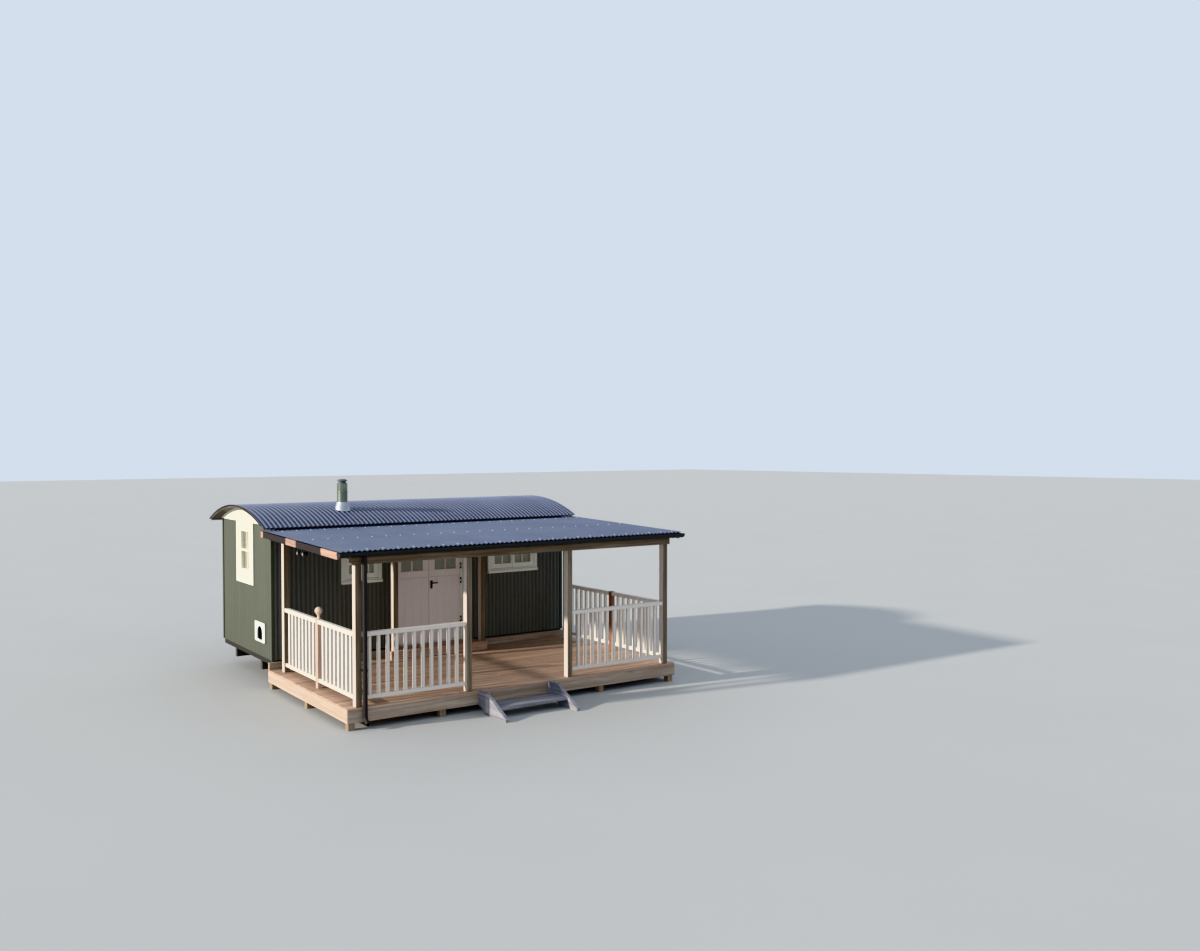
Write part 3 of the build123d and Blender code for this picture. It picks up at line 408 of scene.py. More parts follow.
front_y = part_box("front_wall_over_door")[0].y
back_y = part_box("rear_wall")[1].y
end_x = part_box("right_end_wall")[1].x
middle_y = (front_y + back_y) / 2
end_half = (back_y - front_y) / 2
wall_foot, gable_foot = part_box("left_end_wall")[0].z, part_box("left_end_wall")[1].z
sheets_short = 0.012
sheets_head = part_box("front_wall_over_door")[1].z - sheets_short
front_wall = turned_to((0, front_y, 0), 0)
rear_wall = turned_to((0, back_y, 0), math.pi)
left_end = turned_to((-end_x, middle_y, 0), -math.pi / 2)
right_end = turned_to((end_x, middle_y, 0), math.pi / 2)
window_foot, window_head = 1.500, 2.300
left_window, right_window, back_window = (-1.218, 0.712), (1.672, 1.019), (0.0, 1.019)
hole_half, hole_foot, hole_head = 0.220, 1.666, 2.353
end_hole = (-hole_half, hole_half, hole_foot, hole_head)
past_foot = 0.01
door_half, door_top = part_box("door_frame")[1].x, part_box("door_frame")[1].z
doorway = (-door_half, door_half, wall_foot - past_foot, door_top)
vent_low, vent_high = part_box("wall_vent")
vent_middle = (vent_low.y + vent_high.y) / 2
vent_half, vent_foot, vent_head = 0.12, 0.67, 0.89
vent_along = middle_y - vent_middle
vent_hole = (vent_along - vent_half, vent_along + vent_half, vent_foot, vent_head)
wall_green, front_green_painted_light = (0.080, 0.088, 0.064), (0.165, 0.166, 0.145)
green = coated_sheet("wall_green", wall_green, "Z", 0.55, 0.22, 0.25)
# Painted light: the front sheets under the verandah get a paler, greyer green than the others.
front_green = coated_sheet("front_green_painted_light", front_green_painted_light, "Z", 0.6, 0.22, 0.3)
front_holes = [window_hole(left_window), window_hole(right_window), doorway]
for name, finish, wall, half, head, holes in (
    ("front_sheets", front_green, front_wall, end_x, sheets_head, front_holes),
    ("rear_sheets", green, rear_wall, end_x, sheets_head, [window_hole(back_window)]),
    ("left_end_sheets", green, left_end, end_half, gable_foot, [end_hole, vent_hole]),
    ("right_end_sheets", green, right_end, end_half, gable_foot, [end_hole]),
):
    mesh = corrugated(-half, half, wall_foot, head, 1, holes)
    bmesh.ops.transform(mesh, matrix=wall, verts=mesh.verts[:])
    sheeting(name, mesh, finish)


def lining(node, finish, move, suffix="lining"):
    """Makes a piece of a CAD node's shape, with its points moved so that the sheets lie on it."""
    mesh = bmesh.new()
    mesh.from_mesh(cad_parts[node].data)
    bmesh.ops.remove_doubles(mesh, verts=mesh.verts[:], dist=1e-5)
    for vertex in mesh.verts:
        vertex.co = move(vertex.co)
    bmesh.ops.remove_doubles(mesh, verts=mesh.verts[:], dist=1e-4)
    bmesh.ops.dissolve_limit(mesh, angle_limit=0.005, verts=mesh.verts[:], edges=mesh.edges[:])
    piece(f"{node}_{suffix}", mesh, finish, hides=(node,))


def behind_front(at):
    """Moves a point of the front wall behind its sheets."""
    return Vector((at.x, max(at.y, front_y + under_sheet), at.z))


def behind_rear(at):
    """Moves a point of the rear wall behind its sheets."""
    return Vector((at.x, min(at.y, back_y - under_sheet), at.z))


def behind_ends(at):
    """Moves a point of an end wall behind its sheets, and behind those of the long walls."""
    across = max(min(at.y, back_y - under_sheet), front_y + under_sheet)
    return Vector((max(min(at.x, end_x - under_sheet), under_sheet - end_x), across, at.z))


inner_boards = sawn_timber("inner_boards", (0.50, 0.40, 0.28), (0.72, 0.62, 0.47), "Z", 0.6, 0.5, 0.2)
for node in ("front_wall_left", "front_wall_right", "front_wall_over_door"):
    lining(node, inner_boards, behind_front)
lining("rear_wall", inner_boards, behind_rear)
for node in ("left_end_wall", "right_end_wall"):
    lining(node, inner_boards, behind_ends)

# Corner trims: strips of folded sheet metal, nailed over the edges of the sheets at the hut's corners and
# painted with them.
dress(green, "corner_trims")


# Gables: curved boards that close both ends under the bow, nailed on over the sheets, so that they stand
# proud of them, and painted cream.
def painted_timber(name, colour, roughness=0.42, soil=0.30, duct_shade_from=None):
    """Satin paint on planed upright timber, with grime in its grain; painted shade, nearly black, past a
    duct's mouth.
    """
    finish = Finish(name, Specular_IOR_Level=0.45)
    grain = finish.noise(1.0, (55.0, 55.0, 2.0), 4.0)
    clouds = finish.noise(2.5, detail=5)
    paint = finish.between(finish.tone() * 0.5 + clouds * 0.5, tint(colour, 0.95), tint(colour, 1.03))
    soiled = finish.between(finish.span(clouds, 0.0, soil, 0.5, 0.75), paint, tint(colour, 0.80))
    painted = finish.between(finish.span(grain, 0.0, 0.18, 0.5, 0.72), soiled, tint(colour, 0.70))
    # Painted shade: past the duct's mouth the colour goes nearly black.
    if duct_shade_from is not None:
        painted_duct_shade = finish.span(finish.part(finish.place, "X"), 0.0, 1.0, duct_shade_from - 0.010, duct_shade_from)
        painted = finish.between(painted_duct_shade, painted, tint(colour, 0.02))
    finish.colour(painted)
    finish.dull(finish.span(grain, roughness - 0.05, roughness + 0.12))
    finish.relief(grain, 0.0006, 0.5)
    return finish.material


cream_paint = painted_timber("cream_paint", (0.90, 0.88, 0.75))
board_proud = 0.018
outer_face = end_x - 0.001


def proud_of_ends(at):
    """Moves a point of a gable's outer face out over the sheets."""
    along = math.copysign(end_x + board_proud, at.x) if abs(at.x) > outer_face else at.x
    return Vector((along, at.y, at.z))


lining("gable_panels", cream_paint, proud_of_ends, "boards")

# End windows: a fixed casement of two lights, each with one upright bar, in a box through the wall, with
# flat boards round it on the sheets, up to the gable. It is softwood, painted cream.
trim_half, trim_foot = 0.390, 1.480
casement_half, casement_foot, casement_head = 0.288, 1.585, 2.366
lights_half, lights_foot, lights_head = 0.180, 1.706, 2.313
transom_middle, transom_half = 2.0095, 0.015
bar_depth, end_bar_half = 0.014, 0.012
joint = 0.004
box_deep, casement_back, transom_back = 0.090, 0.006, 0.010
end_glass = (0.041, 0.049)


def glazing_bars(middle, half, low, high, glass):
    """An upright bar on both faces of a pane, which lies between its near and its far face."""
    near, far = glass
    return [
        ((middle - half, near - bar_depth, low), (middle + half, near, high)),
        ((middle - half, far, low), (middle + half, far + bar_depth, high)),
    ]


def end_window(name, wall):
    """Makes one end window in its wall's places."""
    out, face = -board_proud, casement_back - board_proud
    inner_half = casement_half + joint
    transom_foot, transom_head = transom_middle - transom_half, transom_middle + transom_half
    made = [
        ((-trim_half, out, trim_foot), (-inner_half, 0, gable_foot)),
        ((inner_half, out, trim_foot), (trim_half, 0, gable_foot)),
        ((-inner_half, out, trim_foot), (inner_half, 0, casement_foot - joint)),
        ((-inner_half, out, casement_head + joint), (inner_half, 0, gable_foot)),
        ((-casement_half, face, casement_foot), (-lights_half, 0, casement_head)),
        ((lights_half, face, casement_foot), (casement_half, 0, casement_head)),
        ((-lights_half, face, casement_foot), (lights_half, 0, lights_foot)),
        ((-lights_half, face, lights_head), (lights_half, 0, casement_head)),
        ((-lights_half, face, transom_foot), (lights_half, box_deep - transom_back, transom_head)),
        ((-hole_half, 0, hole_foot), (-lights_half, box_deep, hole_head)),
        ((lights_half, 0, hole_foot), (hole_half, box_deep, hole_head)),
        ((-lights_half, 0, hole_foot), (lights_half, box_deep, lights_foot)),
        ((-lights_half, 0, lights_head), (lights_half, box_deep, hole_head)),
    ]
    made += glazing_bars(0, end_bar_half, lights_foot, lights_head, end_glass)
    mesh = bars(made, 0.002, 5)
    bmesh.ops.transform(mesh, matrix=wall, verts=mesh.verts[:])
    piece(name, mesh, cream_paint, hides=("end_windows",))


end_window("left_end_window", left_end)
end_window("right_end_window", right_end)

# Window panes: clear float glass, puttied into the lights, coloured with painted shade of the dark room
# behind it and lightened by painted reflection. In the ends it shows pale curtains close behind it, with
# folds of painted light and shade.
pane_shade_and_reflection_dark, pane_shade_and_reflection_pale = (0.340, 0.340, 0.260, 1), (0.490, 0.490, 0.390, 1)
fold_painted_shade, fold_painted_light = (0.11, 0.100, 0.072, 1), (0.30, 0.270, 0.195, 1)
end_panes_from = 2.60
panes = Finish("window_glass", IOR=1.45, Alpha=0.88)
pane_clouds = panes.noise(3.0, detail=3)
from_middle = panes.part(panes.add("VectorMath", {"operation": "ABSOLUTE"}, {0: panes.place}), "X")
in_ends = panes.span(from_middle, 0.0, 1.0, end_panes_from, end_panes_from + 0.01)
folds = panes.add("TexWave", {"bands_direction": "Y"}, {"Vector": panes.place, "Scale": 3.4})
curtain = panes.between(panes.span(folds, 0.0, 1.0, 0.0, 0.3), fold_painted_shade, fold_painted_light)
# The panes' colour is painted shade of the room behind, lightened by painted reflection; the curtain folds
# are bands of painted light and shade.
panes.colour(panes.between(in_ends, panes.between(pane_clouds, pane_shade_and_reflection_dark, pane_shade_and_reflection_pale), curtain))
panes.dull(panes.span(pane_clouds, 0.03, 0.09))
dress(panes.material, "window_glass", "left_door_glass", "right_door_glass")

# Low vent in the left end: a rounded board with an arched mouth, screwed to the sheets and painted, and
# black metal slats across the duct behind the mouth.
vent_white = (0.60, 0.61, 0.58)
slat_half, slat_foot, slat_step, slat_thick, slat_count = 0.105, 0.690, 0.030, 0.004, 6
slat_near, slat_far = vent_low.x + 0.034, vent_low.x + 0.060
# Inside the duct the board's colour goes nearly black, as painted shade.
dress(painted_timber("vent_paint", vent_white, duct_shade_from=-end_x), "wall_vent")
slats = []
for k in range(slat_count):
    foot = slat_foot + k * slat_step
    low = (slat_near, vent_middle - slat_half, foot)
    slats.append((low, (slat_far, vent_middle + slat_half, foot + slat_thick)))
slat_black = painted_metal("vent_dark", (0.012, 0.012, 0.012), 0.6, (0.03, 0.03, 0.028))
piece("vent_slats", bars(slats, 0.001, 9), slat_black)

# Bow roof: corrugated sheets rolled to an arch and painted slate blue, over a lining of brown boards that
# ends short of the sheets' edges.
bow_radius, bow_centre = 3.06328, -0.31828
bow_low, bow_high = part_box("bow_roof")
bow_half = (bow_high.y - bow_low.y) / 2
bow_angle = math.asin(bow_half / bow_radius)
bow_rows = 30
lining_back, lining_short = 0.045, 0.030
bow_mesh = corrugated(bow_low.x, bow_high.x, -bow_angle, bow_angle, bow_rows)
for vertex in bow_mesh.verts:
    at = vertex.co.copy()
    radius = bow_radius - at.y
    vertex.co = (at.x, middle_y + radius * math.sin(at.z), bow_centre + radius * math.cos(at.z))
# The bow's troughs get the strongest painted shade.
bow_blue = coated_sheet("bow_blue", (0.128, 0.148, 0.238), "Y", 0.40, 0.25, 0.95)
sheeting("bow_sheets", bow_mesh, bow_blue)


def under_bow_sheets(at):
    """Moves the outer face of the bow's slab in, so that the sheets lie on it and stand over its eaves."""
    across = at.y - middle_y
    radius = math.hypot(across, at.z - bow_centre)
    across = max(min(across, bow_half - lining_back), lining_back - bow_half)
    along = max(min(at.x, bow_high.x - lining_short), bow_low.x + lining_short)
    limit = bow_radius - under_sheet
    if radius > limit:
        return Vector((along, middle_y + across, bow_centre + math.sqrt(limit**2 - across**2)))
    return Vector((along, middle_y + across, at.z))


soffit_brown = sawn_timber("soffit_brown", (0.050, 0.036, 0.022), (0.130, 0.095, 0.058), "Y", 0.5)
lining("bow_roof", soffit_brown, under_bow_sheets)
dress(soffit_brown, "end_soffits")


# Flue: a twin wall pipe of stainless steel, its lengths locked with bands. A lead cone seals it to the
# roof, and a cowl of dark sheet metal keeps out the rain.
def plain_metal(name, colour, roughness, run="Z"):
    """Bare metal sheet, rolled along its run and dulled by the weather."""
    finish = Finish(name, Metallic=0.85)
    drawn = [120.0, 120.0, 120.0]
    drawn["XYZ".index(run)] = 6.0
    rolled = finish.noise(1.0, drawn, 3.0)
    stains = finish.noise(6.0, detail=6)
    finish.colour(finish.between(finish.span(stains, 0.0, 0.6), tint(colour, 1.1), tint(colour, 0.72)))
    finish.dull(finish.span(stains, roughness - 0.08, roughness + 0.18))
    finish.relief(rolled, 0.0003, 0.4)
    return finish.material


def turned(mesh, outline, foot, steps=32, closed=False):
    """Turns an outline of radii and heights about the upright line through a foot, as on a lathe."""
    spots = [mesh.verts.new(Vector(foot) + Vector((radius, 0, height))) for radius, height in outline]
    lines = [mesh.edges.new(pair) for pair in zip(spots, spots[1:])]
    if closed:
        lines.append(mesh.edges.new((spots[-1], spots[0])))
    bmesh.ops.spin(
        mesh, geom=spots + lines, cent=foot, axis=(0, 0, 1), angle=2 * math.pi, steps=steps, use_merge=True
    )
    bmesh.ops.remove_doubles(mesh, verts=mesh.verts[:], dist=1e-5)
    return mesh


flue_low, flue_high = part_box("flue_pipe")
flue_middle = (flue_low + flue_high) / 2
flue_radius = (flue_high.x - flue_low.x) / 2
# Painted reflection: the steel's colour is darkened and tinted green, for the green surroundings it
# reflects.
flue_steel = plain_metal("flue_steel", (0.21, 0.235, 0.19), 0.30, "X")
dress(flue_steel, "flue_pipe")
dress(plain_metal("lead_grey", (0.40, 0.43, 0.48), 0.45), "flue_flashing")
band_drops = (0.150, 0.330)
band_outline = [
    (flue_radius, 0), (flue_radius + 0.004, 0.002), (flue_radius + 0.005, 0.010),
    (flue_radius + 0.004, 0.018), (flue_radius, 0.020), (flue_radius - 0.002, 0.010),
]
band = bmesh.new()
for drop in band_drops:
    turned(band, band_outline, (flue_middle.x, flue_middle.y, flue_high.z - drop), closed=True)
soften(band)
piece("flue_bands", band, flue_steel)
cowl_low, cowl_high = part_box("flue_cowl")
cowl_radius = (cowl_high.x - cowl_low.x) / 2
cowl_rise = cowl_high.z - cowl_low.z
collar_radius, neck_radius = cowl_radius * 0.90, cowl_radius * 0.72
cowl_outline = [
    (0, 0), (collar_radius, 0), (collar_radius, 0.012), (neck_radius, 0.014),
    (neck_radius, cowl_rise * 0.55), (cowl_radius, cowl_rise * 0.55), (cowl_radius, cowl_rise * 0.66),
    (cowl_radius * 0.86, cowl_rise * 0.84), (cowl_radius * 0.45, cowl_rise * 0.96), (0, cowl_rise),
]
cowl = turned(bmesh.new(), cowl_outline, (flue_middle.x, flue_middle.y, cowl_low.z))
soften(cowl)
cowl_dark = painted_metal("cowl_dark", (0.09, 0.10, 0.12), 0.45)
piece("cowl_cap", cowl, cowl_dark, hides=("flue_cowl",))

# Doorway: a painted frame and two leaves on iron hinges. Each leaf has a broad rail with a bead over it,
# upright boards below, fixed to two ledges behind them, and above it a pane with one upright bar.
leaf_low, leaf_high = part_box("right_door_leaf")
leaf_left, leaf_right, leaf_front, leaf_rear = leaf_low.x, leaf_high.x, leaf_low.y, leaf_high.y
rail_foot, rail_head, pane_head = 1.517, 1.632, 2.1681
meeting_stile, hinge_stile = 0.110, 0.080
bead_proud, bead_foot, bead_head, bead_short = 0.006, rail_head - 0.020, rail_head - 0.004, 0.004
ledge_front = leaf_rear - 0.018
low_ledge_head, high_ledge_foot, high_ledge_head = leaf_low.z + 0.120, rail_foot - 0.46, rail_foot - 0.34
leaf_boards, board_back, board_gap, rail_gap = 4, 0.005, 0.001, 0.003
door_glass = (leaf_front + 0.018, leaf_front + 0.026)
door_bar_half = 0.012
leaf_board = (leaf_right - leaf_left + 0.002) / leaf_boards
pane_left, pane_right = leaf_left + meeting_stile, leaf_right - hinge_stile
leaf_bars = [
    ((leaf_left, leaf_front, rail_foot), (leaf_right, leaf_rear, rail_head)),
    ((leaf_left, leaf_front, rail_head), (pane_left, leaf_rear, leaf_high.z)),
    ((pane_right, leaf_front, rail_head), (leaf_right, leaf_rear, leaf_high.z)),
    ((pane_left, leaf_front, pane_head), (pane_right, leaf_rear, leaf_high.z)),
    ((leaf_left + bead_short, leaf_front - bead_proud, bead_foot),
     (leaf_right - bead_short, leaf_front, bead_head)),
    ((leaf_left, ledge_front, leaf_low.z), (leaf_right, leaf_rear, low_ledge_head)),
    ((leaf_left, ledge_front, high_ledge_foot), (leaf_right, leaf_rear, high_ledge_head)),
]
for k in range(leaf_boards):
    x = leaf_left + k * leaf_board
    low = (x, leaf_front + board_back, leaf_low.z)
    leaf_bars.append((low, (x + leaf_board - board_gap, ledge_front, rail_foot - rail_gap)))
leaf_bars += glazing_bars((pane_left + pane_right) / 2, door_bar_half, rail_head, pane_head, door_glass)
door_paint = painted_timber("door_paint", (0.93, 0.81, 0.73), 0.45, 0.12)
black_iron = painted_metal("black_iron", (0.022, 0.021, 0.020), 0.45, (0.08, 0.07, 0.06))
for side, name, seed in ((-1, "left", 10), (1, "right", 12)):
    mesh = bars(leaf_bars, 0.002, seed)
    bmesh.ops.scale(mesh, vec=(side, 1, 1), verts=mesh.verts[:])
    piece(f"{name}_leaf", mesh, door_paint, f"{name}_door", (f"{name}_door_leaf",))
dress(cream_paint, "door_frame")
dress(black_iron, "frame_hinges", "door_handle")
dress(door_paint, "left_door_hinges", "right_door_hinges")

# Windows of the long walls: two fixed casements, with one upright bar in each, in a frame over a sill. It
# is softwood, painted cream, and set in a hole of the wall.
jamb, frame_head, frame_foot, mullion_half = 0.060, 0.026, 0.024, 0.011
casement_stile, meeting_side, casement_top, casement_rail = 0.075, 0.029, 0.044, 0.083
window_out, window_in, sill_out, sill_rise = -0.015, 0.065, -0.045, 0.045
casement_out, casement_in = window_out + 0.005, window_in - 0.01
long_glass, long_bar_half = (0.021, 0.029), 0.011


def casement_window(name, window, wall, node):
    """Makes one window of a long wall in the wall's places."""
    middle, width = window
    left, right = middle - width / 2, middle + width / 2
    foot, head = window_foot + sill_rise, window_head
    inner_left, inner_right = left + jamb, right - jamb
    inner_foot, inner_head = foot + frame_foot, head - frame_head
    light_foot, light_head = inner_foot + casement_rail, inner_head - casement_top
    low, high = inner_foot + joint, inner_head - joint
    made = [
        ((left, sill_out, window_foot), (right, window_in, foot)),
        ((left, window_out, foot), (inner_left, window_in, head)),
        ((inner_right, window_out, foot), (right, window_in, head)),
        ((inner_left, window_out, foot), (inner_right, window_in, inner_foot)),
        ((inner_left, window_out, inner_head), (inner_right, window_in, head)),
        ((middle - mullion_half, window_out, inner_foot), (middle + mullion_half, window_in, inner_head)),
    ]
    for side in (-1, 1):
        outer = inner_left + joint if side < 0 else inner_right - joint
        inner = middle + side * (mullion_half + joint)
        pane_outer = outer - side * (casement_stile - joint)
        pane_inner = inner + side * (meeting_side - joint)
        for x0, x1, z0, z1 in (
            (outer, pane_outer, low, high),
            (inner, pane_inner, low, high),
            (pane_outer, pane_inner, low, light_foot),
            (pane_outer, pane_inner, light_head, high),
        ):
            made.append(((min(x0, x1), casement_out, z0), (max(x0, x1), casement_in, z1)))
        pane_middle = (pane_outer + pane_inner) / 2
        made += glazing_bars(pane_middle, long_bar_half, light_foot, light_head, long_glass)
    mesh = bars(made, 0.002, round(width * 100))
    bmesh.ops.transform(mesh, matrix=wall, verts=mesh.verts[:])
    piece(name, mesh, cream_paint, hides=(node,))


casement_window("left_front_window", left_window, front_wall, "front_windows")
casement_window("right_front_window", right_window, front_wall, "front_windows")
casement_window("back_window", back_window, rear_wall, "rear_window")

# Deck: sawn softwood boards laid along the hut with gaps between them, two lengths to a row, which meet on
# a joist. The joists lie on bearers, and these on short piers.
deck_low, deck_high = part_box("deck_boards")
deck_rows, deck_gap, end_gap = 22, 0.005, 0.001
joist_half, joist_spaces, joint_joists = 0.0475, 10, (3, 7, 5)
deck_timber = sawn_timber("deck_timber", (0.34, 0.210, 0.148), (0.70, 0.520, 0.390), "X", 0.62, 1.2, 0.5)
deck_board = (deck_high.y - deck_low.y + deck_gap) / deck_rows
joist_step = (deck_high.x - deck_low.x - 2 * joist_half) / joist_spaces
planks = []
for row in range(deck_rows):
    y = deck_low.y + row * deck_board
    cut = deck_low.x + joist_half + joist_step * joint_joists[row % len(joint_joists)]
    for x0, x1 in ((deck_low.x, cut - end_gap), (cut + end_gap, deck_high.x)):
        planks.append(((x0, y, deck_low.z), (x1, y + deck_board - deck_gap, deck_high.z)))
piece("deck_planks", bars(planks, 0.003, 21), deck_timber, hides=("deck_boards",))
for node, along in (("deck_bearers", "X"), ("deck_joists", "Y"), ("deck_piers", "Z")):
    dress(sawn_timber(f"{node}_timber", (0.17, 0.12, 0.075), (0.40, 0.30, 0.20), along), node)

# Fascia: sawn boards on edge, nailed round the open sides of the deck. The front has two lengths, and the
# sides get a paler colour than the front, as painted sunlight.
fascia_low, fascia_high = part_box("deck_fascia")
fascia_thick, fascia_cut, cut_gap, corner_gap = 0.025, -0.60, 0.002, 0.001
front_fascia = [
    ((x0, fascia_low.y, fascia_low.z), (x1, fascia_low.y + fascia_thick, fascia_high.z))
    for x0, x1 in ((fascia_low.x, fascia_cut), (fascia_cut + cut_gap, fascia_high.x))
]
sides_from = fascia_low.y + fascia_thick + corner_gap
side_fascia = [
    ((x0, sides_from, fascia_low.z), (x0 + fascia_thick, fascia_high.y, fascia_high.z))
    for x0 in (fascia_low.x, fascia_high.x - fascia_thick)
]
fascia_x = sawn_timber("fascia_along_x", (0.26, 0.190, 0.140), (0.54, 0.440, 0.350), "X", 0.68)
# Painted light: the side boards get a paler copy of the front's timber colour.
painted_light_side_fascia = sawn_timber("fascia_along_y_painted_light", (0.338, 0.247, 0.182), (0.702, 0.572, 0.455), "Y", 0.68)
piece("front_fascia", bars(front_fascia, 0.003, 3), fascia_x, hides=("deck_fascia",))
piece("side_fascia", bars(side_fascia, 0.003, 4), painted_light_side_fascia, hides=("deck_fascia",))

# Kerbs and doorstep: boards nailed along the foot of the wall, and a low box of deck boards before the
# door, with a neck between the two posts there.
dress(fascia_x, "wall_kerbs")
step_low, step_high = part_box("door_step")
neck_left, neck_right, neck_front = -0.730, 0.805, 0.202
lid, lid_side, lid_front, lid_rows, lid_gap = 0.028, 0.004, 0.006, 3, 0.004
lid_foot = step_high.z - lid
lid_width = (step_high.y - neck_front) / lid_rows
step_back = neck_front - lid_gap
door_step = [
    ((step_low.x, step_low.y, lid_foot), (step_high.x, step_back, step_high.z)),
    ((step_low.x + lid_side, step_low.y + lid_front, step_low.z),
     (step_high.x - lid_side, step_back, lid_foot)),
    ((neck_left + lid_side, neck_front, step_low.z),
     (neck_right - lid_side, step_high.y, lid_foot)),
]
for row in range(lid_rows):
    y = neck_front + row * lid_width
    door_step.append(((neck_left, y, lid_foot), (neck_right, y + lid_width - lid_gap, step_high.z)))
piece("step_box", bars(door_step, 0.003, 31), deck_timber, hides=("door_step",))

# Posts: square sawn timbers on the deck, four along the front and four by the wall, which carry the two
# beams. Their left faces, towards the lamp, get a paler colour as painted sunlight.
post_half = 0.045
outer_post, left_bay_post, right_bay_post = 2.618, -0.938, 0.783
rear_left_post, rear_right_post = -0.780, 0.855
post_dark, post_pale, post_painted_sunlit = (0.100, 0.072, 0.046), (0.310, 0.250, 0.178), (0.64, 0.56, 0.49)
post_timber = sawn_timber("post_timber", post_dark, post_pale, "Z", 0.66, 1.3, 0.6, post_painted_sunlit)
for node, places in (
    ("front_posts", (-outer_post, left_bay_post, right_bay_post, outer_post)),
    ("rear_posts", (-outer_post, rear_left_post, rear_right_post, outer_post)),
):
    low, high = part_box(node)
    posts = [((x - post_half, low.y, low.z), (x + post_half, high.y, high.z)) for x in places]
    piece(f"{node}_timber", bars(posts, 0.005, 41), post_timber, hides=(node,))

# Roof timbers of the verandah: two beams on the posts, rafters over them and purlins for the sheets, all
# sawn softwood. Barge boards cover the ends, bare but for two lengths coloured nearly black.
beam_dark, beam_pale = (0.095, 0.068, 0.042), (0.250, 0.190, 0.130)
beam_x = sawn_timber("beam_along_x", beam_dark, beam_pale, "X", 0.66, 1.2, 0.6)
beam_y = sawn_timber("beam_along_y", beam_dark, beam_pale, "Y", 0.66, 1.2, 0.6)
dress(beam_x, "front_beam", "rear_beam", "verandah_purlins")
dress(beam_y, "verandah_rafters")
bare_dark, bare_pale = (0.24, 0.140, 0.100, 1), (0.53, 0.345, 0.270, 1)
dark_length_deep, dark_length_light = (0.006, 0.004, 0.004, 1), (0.026, 0.015, 0.014, 1)
dark_length_edge = 0.02
barge = Finish("barge_timber")
barge_grain = barge.noise(1.0, (26.0, 1.1, 26.0), 7.0)
barge_place = barge.part(barge.place, "Y") + barge.noise(6.0, detail=3) * 0.06


def dark_length(start, end):
    """1 on the length of the barge boards from start to end, and 0 off it."""
    begun = barge.span(barge_place, 0.0, 1.0, start, start + dark_length_edge)
    return begun * barge.span(barge_place, 1.0, 0.0, end - dark_length_edge, end)


# Two lengths of the barge boards are coloured nearly black.
dark_lengths = dark_length(-1.74, -0.85) + dark_length(-0.49, 0.44)
barge_bare = barge.between(barge.span(barge_grain, 0.0, 1.0, 0.3, 0.7), bare_dark, bare_pale)
barge.colour(barge.between(dark_lengths, barge_bare, barge.between(barge_grain, dark_length_deep, dark_length_light)))
barge.dull(barge.span(barge_grain, 0.58, 0.78))
barge.relief(barge_grain, 0.0012, 0.7)
dress(barge.material, "barge_boards")

# Verandah roof: one flat slope of corrugated sheets, painted slate blue and screwed down through every
# third crest, in three rows. Each screw has a pale cap.
roof_low, roof_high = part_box("verandah_roof")
eave_z, fall = 2.326, 0.03326
roof_mesh = corrugated(roof_low.x, roof_high.x, roof_low.y, roof_high.y, 2)


def on_slope(x, y, down=0.0):
    """A place on the crests of the verandah roof, or below them."""
    return Vector((x, y, eave_z + fall * (y - roof_low.y) - down))


for vertex in roof_mesh.verts:
    vertex.co = on_slope(vertex.co.x, vertex.co.z, vertex.co.y)
roof_blue = coated_sheet("verandah_blue", (0.073, 0.092, 0.150), "Y", 0.42, 0.25, 0.12)
sheeting("verandah_sheets", roof_mesh, roof_blue, ("verandah_roof",))
cap_radius, cap_crown, cap_rise = 0.012, 0.0072, 0.007
screw_rows, screws, screw_step = (-2.22, -0.98, 0.18), 25, 3 * pitch
caps = bmesh.new()
for y in screw_rows:
    for k in range(1, screws + 1):
        place = Matrix.Translation(on_slope(roof_low.x + screw_step * k, y, -cap_rise / 2))
        bmesh.ops.create_cone(
            caps, cap_ends=True, segments=10, radius1=cap_radius, radius2=cap_crown,
            depth=cap_rise, matrix=place,
        )
piece("screw_caps", caps, plain_metal("screw_caps", (0.70, 0.72, 0.74), 0.35))


# Gutter and downpipe: black moulded plastic. Straps hold the gutter to the rafters' ends, and the pipe
# runs down the left corner post, with a collar at its head and at each clip.
def moulded(name, colour, roughness):
    """Moulded plastic, faintly orange-peeled and greyed by the sun."""
    finish = Finish(name)
    clouds = finish.noise(4.0, detail=5)
    finish.colour(finish.between(clouds, tint(colour, 0.8), tint(colour, 1.5)))
    finish.dull(finish.span(clouds, roughness - 0.06, roughness + 0.12))
    finish.relief(finish.noise(220, detail=2), 0.0003, 0.3)
    return finish.material


gutter_black = moulded("gutter_black", (0.016, 0.0155, 0.0145), 0.38)
pipe_black = moulded("pipe_black", (0.013, 0.010, 0.010), 0.60)
dress(gutter_black, "gutter")
dress(pipe_black, "downpipe")
gutter_low, gutter_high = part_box("gutter")
gutter_radius = (gutter_high.y - gutter_low.y) / 2
gutter_y, gutter_z = gutter_low.y + gutter_radius, gutter_low.z + gutter_radius
strap_count, strap_half, strap_thick, strap_inset = 7, 0.014, 0.003, 0.20
strap_rise, strap_wrap, strap_steps = 0.006, math.radians(150), 14
strap_step = (gutter_high.x - gutter_low.x - 2 * strap_inset) / (strap_count - 1)
strap_outline = (
    (-strap_half, 0), (strap_half, 0), (strap_half, strap_thick), (-strap_half, strap_thick),
)
straps = bmesh.new()
for k in range(strap_count):
    x = gutter_low.x + strap_inset + k * strap_step
    corners = [
        straps.verts.new((x + along, gutter_y - gutter_radius - out, gutter_z + strap_rise))
        for along, out in strap_outline
    ]
    strap = straps.faces.new(corners)
    middle = (x, gutter_y, gutter_z)
    bmesh.ops.spin(straps, geom=[strap], cent=middle, axis=(1, 0, 0), angle=strap_wrap, steps=strap_steps)
piece("gutter_brackets", straps, gutter_black)
